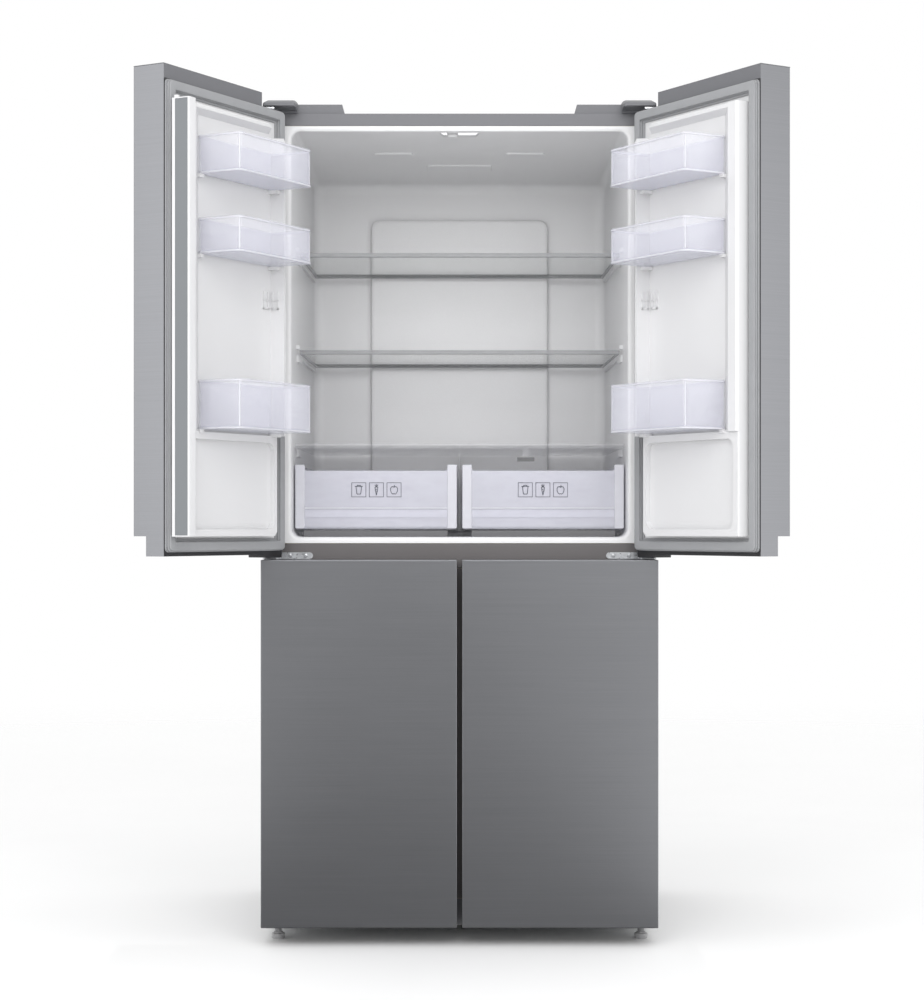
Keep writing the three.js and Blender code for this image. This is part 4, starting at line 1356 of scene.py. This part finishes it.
@dataclass
class Crisper:
    """A vegetable drawer with white corner posts. Drawn on the left.

    Attributes:
        front: Its front face.
        back: Its back face.
        low: Its underside.
        high: The top of its side walls and posts.
        sill: The top of its front panel.
        inner: Its edge beside the middle web.
        outer: Its outer edge at the front, and at the back.
        icon: The size of an icon's frame.
        icon_low: The underside of the icons' frames.
        icon_step: From one icon to the next.
    """

    front: float = 50.0
    back: float = 500.0
    low: float = 875.0
    high: float = 1014.5
    sill: float = 1001.5
    inner: float = -5.5
    outer: Point = (-354.9, -345.2)
    icon: float = 30.5
    icon_low: float = 945.0
    icon_step: float = 38.0

    def build(self, room: Room, side: Side) -> None:
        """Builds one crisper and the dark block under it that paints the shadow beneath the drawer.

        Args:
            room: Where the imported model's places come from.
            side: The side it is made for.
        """
        bench = room.cabinet(side, f"{side.value}_crisper")
        tub = self._tub(bench, side)
        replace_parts(tub, f"crisper_{side.value}")
        left, right = self.outer[0] + 0.4, self.inner - 0.4
        for label, x0, x1 in (("outer", left, left + 20.5), ("inner", right - 20.5, right)):
            plan = rounded_rect(x0, x1, self.low + 2, self.high, [3, 3, 2.5, 2.5], 4)
            section = ((-1.4, 1.2), (-0.6, 0.2), (1.0, 0), (6, 0))
            rings = [Axis.Y.ring(shrink(plan, inset), self.front + off) for off, inset in section]
            bench.loft(f"crisper_post_{side.value}_{label}", rings, FROSTED)
        x0, x1 = left + 20.5, right - 20.5
        bench.block(f"crisper_grip_{side.value}", (x0, self.front - 1.5, 901), (x1, self.front + 1.2, 916),
                    CRISPER_PLASTIC, 0.7)
        bench.block(f"crisper_line_{side.value}", (x0, self.front - 1.2, 919.4),
                    (x1, self.front + 0.8, 922.4), FROSTED, 0.5)
        self._icons(bench, side)
        cabinet = room.cabinet(side)
        # A dark block that paints the shadow under the crisper.
        cabinet.block(f"crisper_recess_{side.value}", (-336, 54, 860.2), (-26, 62, 872.6), SHADOW, 0.6)
        cabinet.block(f"crisper_runner_{side.value}", (-357, 130, 862), (-345, 500, 870), LINER, 1.5)

    def _plan(self, inset: float) -> list[Point]:
        """Draws the drawer's plan, narrower at the back.

        Args:
            inset: How far inside the outer wall.

        Returns:
            The plan's points.
        """
        a, b = (x + inset for x in self.outer)
        radius = max(1.5, 9 - inset)
        points = rounded_rect(a, self.inner - inset, self.front + inset, self.back - inset, [radius] * 4, 5)
        lean = (b - a) / (self.back - self.front)
        middle = self.inner - inset
        return [(x + lean * (y - self.front) * (middle - x) / (middle - a), y) for x, y in points]

    def _tub(self, bench: Bench, side: Side) -> bpy.types.Object:
        """Makes the drawer's clear tub, lower at its front.

        Args:
            bench: Where it is drawn.
            side: The side it is made for.

        Returns:
            The tub.
        """
        low, high = self.low, self.high
        stations = [
            (9, low), (3.5, low + 0.8), (1.0, low + 3.2), (0.2, low + 8), (0, low + 40), (0, self.sill - 14),
            (0, high - 3), (0.3, high - 0.8), (1.3, high), (2.2, high - 0.6), (2.8, high - 3),
            (2.9, self.sill - 14), (3.0, low + 40), (3.4, low + 12), (5.0, low + 6.4), (9, low + 3.6),
            (16, low + 3.0),
        ]
        tub = bench.vessel(f"crisper_tub_{side.value}", self._plan, stations, CRISPER_PLASTIC)
        x0, x1 = self.outer[0] + 21, self.inner - 21

        def notch(at: Bench) -> bpy.types.Object:
            """Draws what is cut off the front panel's top.

            Args:
                at: Where it is drawn.

            Returns:
                The cutter.
            """
            plan = rounded_rect(x0, x1, self.sill, high + 10, [5, 5, 0, 0], 5)
            rings = [Axis.Y.ring(plan, y) for y in (self.front - 5, self.front + 8)]
            return at.loft("crisper_notch", rings, BIN_PLASTIC)

        bench.carve(tub, notch)
        return tub

    def _icons(self, bench: Bench, side: Side) -> None:
        """Prints three line drawings in square frames on the front panel.

        Args:
            bench: Where it is drawn.
            side: The side it is made for.
        """
        flipped = side is Side.RIGHT
        first, step = (-157.0, -self.icon_step) if flipped else (-232.5, self.icon_step)
        frame = ((0, 0), (1, 0), (1, 1), (0, 1), (0, 0))
        for place, icon in enumerate(Icon):
            start = first + step * place
            for k, stroke in enumerate([frame, *icon.value]):
                turned = [(1 - a, b) if flipped else (a, b) for a, b in stroke]
                path = [(start + self.icon * a, self.icon_low + self.icon * b) for a, b in turned]
                name = f"icon_{icon.name.lower()}_{side.value}_{k + 1}"
                trace(bench, name, path, self.front - 0.25, 1.2 if k == 0 else 1.5)


def shrink(plan: Sequence[Point], inset: float) -> list[Point]:
    """Moves an outline's points towards its middle by about an inset.

    Args:
        plan: The outline.
        inset: How far they move.

    Returns:
        The smaller outline.
    """
    a = sum(p[0] for p in plan) / len(plan)
    b = sum(p[1] for p in plan) / len(plan)
    return [
        (x - math.copysign(min(inset, abs(x - a)), x - a), y - math.copysign(min(inset, abs(y - b)), y - b))
        for x, y in plan
    ]


def trace(bench: Bench, name: str, path: Sequence[Point], face: float, width: float) -> None:
    """Lays a thin printed line along a path on a face that looks to the front.

    Args:
        bench: Where it is drawn.
        name: The piece's name.
        path: The (x, z) points of the line.
        face: The face's y.
        width: The line's width.
    """
    mesh = bmesh.new()
    for (xa, za), (xb, zb) in zip(path, path[1:]):
        run = Vector((xb - xa, zb - za)).normalized() * width * 0.5
        side = Vector((-run.y, run.x))
        corners = [(xa - run.x + s * side.x, za - run.y + s * side.y) for s in (-1, 1)]
        corners += [(xb + run.x + s * side.x, zb + run.y + s * side.y) for s in (1, -1)]
        rows = [[mesh.verts.new((x, y, z)) for x, z in corners] for y in (face, face + 0.22)]
        for k in range(4):
            j = (k + 1) % 4
            mesh.faces.new((rows[0][k], rows[0][j], rows[1][j], rows[1][k]))
        mesh.faces.new(rows[0])
        mesh.faces.new(rows[1])
    bench.keep(name, mesh, INK)


# ---------------------------------------------------------------- freezer
@dataclass
class Freezer:
    """One freezer compartment, with its drawers. Drawn on the left.

    Attributes:
        left: The drawers' outer edge.
        right: The drawers' inner edge.
        front: The drawers' front.
        drawers: Each drawer's name, underside, top and back.
    """

    left: float = -351.0
    right: float = -48.0
    front: float = 14.0
    drawers: tuple[tuple[str, float, float, float], ...] = (
        ("low", 110.0, 276.0, 404.0), ("middle", 289.0, 500.0, 495.0), ("top", 516.0, 742.0, 495.0),
    )

    def build(self, room: Room, side: Side) -> None:
        """Builds one compartment.

        Args:
            room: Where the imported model's places come from.
            side: The side it is made for.
        """
        bench = room.cabinet(side)
        bench.rework(f"freezer_liner_{side.value}", LINER, 1.0)
        for name, low, high, back in self.drawers:
            piece = self._drawer(bench, f"freezer_tub_{side.value}_{name}", low, high, back)
            if name == "middle":
                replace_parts(piece, f"freezer_drawer_{side.value}")
        for k, (z, back) in enumerate(((282.0, 400), (508.0, 500))):
            bench.block(f"freezer_shelf_{side.value}_{k + 1}", (-356, 18, z), (-43, back, z + 4), PANE, 0.6)

    def _drawer(self, bench: Bench, name: str, low: float, high: float, back: float) -> bpy.types.Object:
        """Makes one clear drawer with a rolled rim and a pulled-out lip.

        Args:
            bench: Where it is drawn.
            name: The piece's name.
            low: Its underside.
            high: Its top.
            back: Its back.

        Returns:
            The drawer.
        """

        def plan(inset: float) -> list[Point]:
            """Draws the drawer's plan at an inset."""
            edges = (self.left + inset, self.right - inset, self.front + inset, back - inset)
            return rounded_rect(*edges, [max(1.5, 8 - inset)] * 4, 5)

        stations = [
            (8, low), (3, low + 0.8), (0.8, low + 3.4), (0.3, low + 9), (0, high - 9), (-2.2, high - 7),
            (-2.6, high - 3), (-1.2, high - 0.4), (0.8, high), (2.4, high - 1), (2.9, high - 6),
            (3.2, low + 10), (4.6, low + 5), (9, low + 3),
        ]
        tub = bench.vessel(name, plan, stations, BIN_PLASTIC)
        mid = (low + high) / 2
        bench.block(f"{name}_grip", (self.left + 60, self.front - 3.5, mid + 18),
                    (self.right - 60, self.front + 1.5, mid + 34), FROSTED, 1.6)
        return tub


# ---------------------------------------------------------------- doors
@dataclass
class DoorShape:
    """Sizes that all four doors share.

    Attributes:
        start: The hinge-side end.
        end: The free end.
        front: The front face.
        back: The inner face.
        sheet: The skin's thickness.
        radius: The radius of the skin's folded edges.
    """

    start: float = -12.0
    end: float = 399.0
    front: float = -47.0
    back: float = 27.0
    sheet: float = 1.0
    radius: float = 1.8


@dataclass
class UpperDoor(DoorShape):
    """A fridge door, with its caps, seal, liner and bins.

    Attributes:
        low: The door's lower edge.
        high: The skin's upper edge.
        step: The lower edge of the front's skin, over the finger step.
        lug: Where the lugs of the flap's hinge stick out of the liner's side.
        bins: Each bin's name, underside and height.
    """

    low: float = 822.0
    high: float = 1784.2
    step: float = 861.5
    lug: float = 367.5
    bins: tuple[tuple[str, float, float], ...] = (
        ("bin_low", 1073.0, 98.0), ("bin_middle", 1420.1, 71.0), ("bin_top", 1578.0, 76.5),
    )

    def build(self, room: Room, side: Side) -> None:
        """Builds one fridge door.

        Args:
            room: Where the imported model's places come from.
            side: The side it is made for.
        """
        bench = room.door("upper", side)
        name = f"upper_{side.value}"
        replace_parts(self._skin(bench, f"{name}_folded_skin"), f"{name}_skin")
        bench.rework(f"{name}_liner", DOOR_LINER, 3.2, 4, spare=lambda p: p.x > self.lug and 46 < p.y < 57.5)
        bench.rework(f"{name}_top_cap", DARK_CAP, 1.0)
        bench.rework(f"{name}_bottom_cap", BLACK, 0.8)
        Seal().fit(bench, f"{name}_gasket", 830.0, 1755.5)
        for part, low, height in self.bins:
            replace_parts(self._bin(bench, f"{name}_{part}_tub", low, height), f"{name}_{part}")
        self._bracket(bench, name)

    def _skin(self, bench: Bench, name: str) -> bpy.types.Object:
        """Folds the skin from one sheet: the front and two sides, with round corners.

        Args:
            bench: Where it is drawn.
            name: The piece's name.

        Returns:
            The skin.
        """
        outer = self._fold(0.0, self.radius)
        inner = self._fold(self.sheet, self.radius - self.sheet)
        outline = outer + inner[::-1]
        rings = [Axis.Z.ring(outline, z) for z in (self.low, self.high)]
        skin = bench.loft(name, rings, STEEL)
        bench.carve(skin, lambda at: at.block("step_tool", (-30, -60, 800), (420, -16, self.step), BLACK, 0))
        bench.carve(skin, lambda at: at.block("notch_tool", (-30, -35, 1757), (-8, 60, 1800), BLACK, 0))
        return skin

    def _fold(self, inset: float, radius: float) -> list[Point]:
        """Draws the skin's section from its hinge side round the front to its free side.

        Args:
            inset: How far inside the outer wall.
            radius: The radius of its corners.

        Returns:
            The section's points.
        """
        x0, x1, y0 = self.start + inset, self.end - inset, self.front + inset
        points = [(x0, self.back)]
        for x, sign, start in ((x0, 1, 180), (x1, -1, 270)):
            for k in range(6):
                turn = math.radians(start + 18 * k)
                points.append((x + radius * (sign + math.cos(turn)), y0 + radius * (1 + math.sin(turn))))
        return [*points, (x1, self.back)]

    def _bin(self, bench: Bench, name: str, low: float, height: float) -> bpy.types.Object:
        """Makes one clear bin with a flanged foot, a rolled rim and a stiffening line.

        Args:
            bench: Where it is drawn.
            name: The piece's name.
            low: Its underside.
            height: Its height.

        Returns:
            The bin.
        """

        def plan(inset: float) -> list[Point]:
            """Draws the bin's plan at an inset.

            Args:
                inset: How far inside the outer wall.

            Returns:
                The plan's points.
            """
            edges = (63.0 + inset, 318.0 - inset, 50.4 + max(inset, 0.0), 151.0 - inset)
            back, nose = max(1.5, 4 - inset), max(3.0, 11 - inset)
            return rounded_rect(*edges, [back, back, nose, nose], 8)

        top = low + height
        stations = [
            (6, low), (1.2, low + 0.3), (-1.0, low + 1.4), (-1.4, low + 3.2), (-0.6, low + 4.6),
            (1.4, low + 5.4), (1.2, low + 16), (0.9, top - 13), (0.4, top - 12), (0.1, top - 10.6),
            (0.4, top - 9.4), (0.7, top - 8.6), (0.4, top - 4.8), (-0.9, top - 3.6), (-1.2, top - 1.6),
            (-0.5, top - 0.3), (0.9, top), (2.2, top - 0.5), (2.9, top - 2), (3.1, top - 6), (3.6, low + 16),
            (4.2, low + 8), (6.5, low + 4.4), (11, low + 3),
        ]
        for label, level, grow in (("foot", low + 1.6, 2.0), ("rim", top - 3.6, 1.5)):
            ring = [(grow, -1.4), (grow + 0.5, 0.0), (grow, 1.4), (0.2, 1.4), (0.2, -1.4)]
            rings = [Axis.Z.ring(plan(-out), level + rise) for out, rise in ring]
            bench.loft(f"{name}_{label}_line", rings, FROSTED, closed=True)
        for k, (x, y) in enumerate(((316.2, 149.2), (64.8, 149.2))):
            bench.turned(f"{name}_corner_{k + 1}", Axis.Z, (x - 2.2 * (1 - 2 * k), y - 2.2),
                         ((1.2, low + 5), (1.7, low + 8), (1.7, top - 8), (1.2, top - 5)), FROSTED, 12)
        return bench.vessel(name, plan, stations, BIN_PLASTIC)

    def _bracket(self, bench: Bench, name: str) -> None:
        """Adds the two U-shaped spare bin brackets, one on the hinge side's inner wall and one beside it.

        Args:
            bench: Where it is drawn.
            name: The piece's name.
        """
        bars = (
            ((1331, 1335.5), (50, 67), (69, 89)), ((1348, 1350.5), (50, 67), (69, 89)),
            ((1331, 1368), (50, 54), (69, 73.5)), ((1331, 1368), (63, 67), (84.5, 89)),
        )
        for k, ((z0, z1), (y0, y1), (x0, x1)) in enumerate(bars):
            bench.block(f"{name}_wall_bracket_{k + 1}", (56, y0, z0), (60.8, y1, z1), DOOR_LINER, 0.9)
            bench.block(f"{name}_back_bracket_{k + 1}", (x0, 45.5, z0), (x1, 50.0, z1), DOOR_LINER, 0.9)


@dataclass
class LowerDoor(DoorShape):
    """A freezer door, with the finger slot in its top.

    Attributes:
        low: The door's lower edge.
        high: The door's upper edge.
        pin: The radius of the hinge pins' holes.
    """

    low: float = 40.0
    high: float = 811.0
    pin: float = 6.5

    def build(self, room: Room, side: Side) -> None:
        """Builds one freezer door.

        Args:
            room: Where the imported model's places come from.
            side: The side it is made for.
        """
        bench = room.door("lower", side)
        name = f"lower_{side.value}"
        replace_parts(self._skin(bench, f"{name}_folded_skin"), f"{name}_skin")
        bench.rework(f"{name}_liner", DOOR_LINER, 3.0, 3)
        Seal().fit(bench, f"{name}_gasket", 48.0, 808.0)

    def _ring(self, inset: float, y: float) -> list[Vector]:
        """Draws the skin's outline at an inset and a depth."""
        edges = (self.start + inset, self.end - inset, self.low + inset, self.high - inset)
        return Axis.Y.ring(rounded_rect(*edges, [max(0.3, 1.6 - inset)] * 4, 3), y)

    def _skin(self, bench: Bench, name: str) -> bpy.types.Object:
        """Folds a tray with a slot in its top edge and a pin hole at each end.

        Args:
            bench: Where it is drawn.
            name: The piece's name.

        Returns:
            The skin.
        """
        r, y = self.radius, self.front
        fold = [(r * a, y + r * b) for a, b in ((1, 0), (0.62, 0.08), (0.29, 0.29), (0.08, 0.62), (0, 1))]
        inner = [(self.sheet, self.back), (self.sheet, y + r + 1), (self.sheet + 1, y + self.sheet)]
        stations = [*fold, (0, self.back), *inner]
        skin = bench.loft(name, [self._ring(inset, depth) for inset, depth in stations], STEEL)
        bench.carve(skin, self._slot_tool)
        for low, high in ((30, 60), (800, 820)):
            profile = ((self.pin, low), (self.pin, high))
            bench.carve(skin, lambda at, p=profile: at.turned("pin_tool", Axis.Z, (0, 0), p, BLACK, 24))
        return skin

    def _slot_tool(self, bench: Bench) -> bpy.types.Object:
        """Draws the space of the finger slot."""
        plan = rounded_rect(self.start + 17, self.end - 17, -40.7, -19.7, [4] * 4, 5)
        return bench.loft("slot_tool", [Axis.Z.ring(plan, z) for z in (788, 830)], BLACK)


@dataclass
class Flap:
    """The folding flap that closes the gap between the fridge doors."""

    def build(self, room: Room) -> None:
        """Builds the flap on the left door.

        Args:
            room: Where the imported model's places come from.
        """
        bench = room.door("upper", Side.LEFT, "flap")
        bench.rework("flap_body", WHITE, 1.0, 3)
        bench.rework("flap_plate", FLAP_STEEL, 0.4)


# ---------------------------------------------------------------- underside and machinery
@dataclass
class Underside:
    """Feet, rollers and the pieces in the compressor's bay.

    Attributes:
        foot: The left foot's axis.
        roller: The left roller's middle and its axle's depth.
        radius: The roller's radius.
    """

    foot: Point = (-388.0, 18.0)
    roller: Point = (-350.5, 600.0)
    radius: float = 14.0

    def build(self, room: Room) -> None:
        """Builds what stands on the floor and what hums.

        Args:
            room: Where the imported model's places come from.
        """
        for side in Side:
            self._foot(room.cabinet(side, f"{side.value}_foot"), side)
            self._roller(room.cabinet(side, f"{side.value}_roller"), side)
        bench = room.cabinet()
        bench.rework("compressor", BLACK_ENAMEL, 3.0, 3, sharp=50)
        bench.rework("condenser", BLACK_ENAMEL, 0.0)
        for k, x in enumerate((-205, -75)):
            for j, y in enumerate((516, 590)):
                bench.turned(f"compressor_mount_{k + 1}_{j + 1}", Axis.Z, (x, y),
                             ((7, 43.4), (8.5, 45), (8.5, 52), (5, 53.5), (5, 56), (3.4, 57)), BLACK, 20)
        self._pipe(bench)

    def _foot(self, bench: Bench, side: Side) -> None:
        """Turns a screw foot: a ribbed sole, a collar and a threaded stem.

        Args:
            bench: Where it is drawn.
            side: The side it is made for.
        """
        thread = [(6.2 if k % 2 else 7.4, 15.5 + 1.1 * k) for k in range(13)]
        profile = [
            (12.6, 0), (14, 0.7), (14, 3.2), (13.2, 3.8), (13.2, 4.6), (14, 5.2), (14, 10.4), (13, 11.6),
            (9.4, 12.4), (9.4, 14.6), (7.2, 15.0), *thread, (5.4, 29.6),
        ]
        piece = bench.turned(f"screw_foot_{side.value}", Axis.Z, self.foot, profile, FOOT, 36)
        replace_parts(piece, f"front_foot_{side.value}")

    def _roller(self, bench: Bench, side: Side) -> None:
        """Turns a roller with a dished hub on its axle.

        Args:
            bench: Where it is drawn.
            side: The side it is made for.
        """
        x, y = self.roller
        r = self.radius
        half = [
            (4, 18), (4, 11.4), (6.2, 11.0), (6.8, 8.6), (r - 3.4, 8.6), (r - 2.8, 10.6), (r - 1, 11),
            (r, 9.8),
        ]
        profile = [(rad, x - along) for rad, along in half] + [(rad, x + along) for rad, along in half[::-1]]
        piece = bench.turned(f"floor_roller_{side.value}", Axis.X, (y, r), profile, ROLLER, 40)
        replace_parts(piece, f"rear_roller_{side.value}")

    def _pipe(self, bench: Bench) -> None:
        """Runs the discharge pipe from the compressor to the condenser.

        Args:
            bench: Where it is drawn.
        """
        bends = (
            (-85, 560, 150), (-62, 566, 158), (-40, 575, 150), (-22, 580, 120), (2, 580, 96), (14, 578, 80),
            (24, 575, 76),
        )
        points = [Vector(bend) for bend in bends]
        rings = []
        for k, point in enumerate(points):
            run = (points[min(k + 1, len(points) - 1)] - points[max(k - 1, 0)]).normalized()
            across = run.cross(Vector((0, 1, 0))).normalized()
            up = run.cross(across)
            rings.append([point + 3.2 * (math.cos(t) * across + math.sin(t) * up)
                          for t in (2 * math.pi * j / 12 for j in range(12))])
        bench.loft("discharge_pipe", rings, FIN_METAL)


# ---------------------------------------------------------------- studio
@dataclass
class Studio:
    """The camera, the lights and the pale floor.

    Attributes:
        distance: The camera's distance in front of the cabinet, in metres.
        height: The camera's height, in metres.
        lens: The lens's length, in millimetres.
        shift: How far the frame is shifted to the right and up.
        floor_reach: How far the floor's sheet runs out, in metres.
        floor_end: Where the floor has faded out, in metres from the middle.
        floor_fade: How much of the floor fades in each metre.
    """

    distance: float = 4.665
    height: float = 0.876
    lens: float = 78.72
    shift: Point = (0.00245, 0.0289)
    floor_reach: float = 30.0
    floor_end: float = 6.5
    floor_fade: float = 0.22

    def build(self, room: Room) -> None:
        """Sets up the room around the piece.

        Args:
            room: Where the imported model's places come from.
        """
        scene = bpy.context.scene
        scene.view_settings.view_transform = "Standard"
        self._camera(scene, room)
        self._floor()
        self._world(scene)
        self._softbox("key_softbox", (0.0, -4.6, 3.4), (5.0, 2.6), 124)
        self._softbox("front_fill", (0.0, -5.4, 1.3), (4.6, 2.0), 40, polished=False)
        self._softbox("left_softbox", (-4.2, -2.7, 1.9), (1.6, 3.2), 24)
        self._softbox("right_softbox", (4.2, -2.7, 1.2), (1.6, 2.8), 20)
        self._card("floor_card", (-0.72, 0.5, -3.6, -0.17), height=0.002)
        self._card("front_card", (-3.0, 0.75, 0.0, 2.45), stands_at=-6.0)

    def _camera(self, scene: bpy.types.Scene, room: Room) -> None:
        """Stands the camera level in front of the cabinet.

        Args:
            scene: The scene.
            room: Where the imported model's places come from.
        """
        data = bpy.data.cameras.new("camera")
        data.lens, data.sensor_width = self.lens, 36.0
        data.shift_x, data.shift_y = self.shift
        camera = bpy.data.objects.new("camera", data)
        camera.location = (0.0, room.front - self.distance, self.height)
        camera.rotation_euler = (math.radians(90), 0, 0)
        scene.collection.objects.link(camera)
        scene.camera = camera

    @staticmethod
    def _sheet(
        name: str, corners: Iterable[Sequence[float]], material: bpy.types.Material
    ) -> bpy.types.Object:
        """Puts a flat sheet in the room.

        Args:
            name: The sheet's name.
            corners: Its corners, in metres.
            material: What it is made of.
        """
        mesh = bmesh.new()
        mesh.faces.new([mesh.verts.new(corner) for corner in corners])
        data = bpy.data.meshes.new(name)
        mesh.to_mesh(data)
        mesh.free()
        data.materials.append(material)
        sheet = bpy.data.objects.new(name, data)
        bpy.context.scene.collection.objects.link(sheet)
        return sheet

    def _floor(self) -> None:
        """Lays the pale floor, which fades into the white room far out."""
        graph = Graph("pale_floor")
        place = graph.coordinates()
        graph.shade(
            Base_Color=graph.mix((0.90, 0.90, 0.90), (0.94, 0.94, 0.94), graph.noise(place, 1.5)),
            Roughness=0.75 + 0.1 * graph.noise(place, 4.0),
            Alpha=((self.floor_end - graph.distance(place)) * self.floor_fade).clamped(),
        )
        reach = self.floor_reach
        self._sheet("floor", ((-reach, -reach, 0), (reach, -reach, 0), (reach, reach, 0), (-reach, reach, 0)),
                    graph.material)

    def _card(
        self, name: str, spans: Sequence[float], height: float = 0.0, stands_at: float | None = None
    ) -> None:
        """Puts up a dark card that only polished surfaces see, which shapes their reflections.

        Args:
            name: The card's name.
            spans: Its low and high x, then its low and high y, or z where it stands.
            height: How far it lies over the floor, in metres.
            stands_at: The y where it stands, if it doesn't lie.
        """
        x0, x1, b0, b1 = spans
        corners = ((x0, b0), (x1, b0), (x1, b1), (x0, b1))
        places = [(x, b, height) if stands_at is None else (x, stands_at, b) for x, b in corners]
        card = self._sheet(name, places, BLACK.material())
        card.visible_camera = card.visible_diffuse = card.visible_shadow = False

    def _world(self, scene: bpy.types.Scene) -> None:
        """Fills the room with plain white light.

        Args:
            scene: The scene.
        """
        world = bpy.data.worlds.new("studio_air")
        world.use_nodes = True
        air = world.node_tree.nodes["Background"]
        air.inputs["Color"].default_value = (1.0, 1.0, 1.0, 1.0)
        air.inputs["Strength"].default_value = 1.0
        scene.world = world

    def _softbox(
        self, name: str, place: Sequence[float], size: Point, power: float, polished: bool = True
    ) -> None:
        """Hangs a soft light that faces the middle of the cabinet.

        Args:
            name: The light's name.
            place: Where it hangs, in metres.
            size: Its width and height, in metres.
            power: Its power, in watts.
            polished: Whether polished surfaces reflect it.
        """
        data = bpy.data.lights.new(name, "AREA")
        data.shape = "RECTANGLE"
        data.size, data.size_y = size
        data.energy = power
        light = bpy.data.objects.new(name, data)
        light.location = place
        light.visible_glossy = polished
        aim = Vector((0.0, 0.0, 0.95)) - Vector(place)
        light.rotation_euler = aim.to_track_quat("-Z", "Y").to_euler()
        bpy.context.scene.collection.objects.link(light)


def main() -> None:
    """Builds the refrigerator's looks around its frame."""
    logging.basicConfig(level=logging.INFO, format="%(name)s %(message)s")
    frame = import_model()
    room = Room(frame)
    Cabinet().build(room)
    FridgeInterior().build(room)
    for side in Side:
        HingeSet().build(room, side)
        Crisper().build(room, side)
        Freezer().build(room, side)
        UpperDoor().build(room, side)
        LowerDoor().build(room, side)
    Flap().build(room)
    Underside().build(room)
    Studio().build(room)


if __name__ == "__main__":
    main()
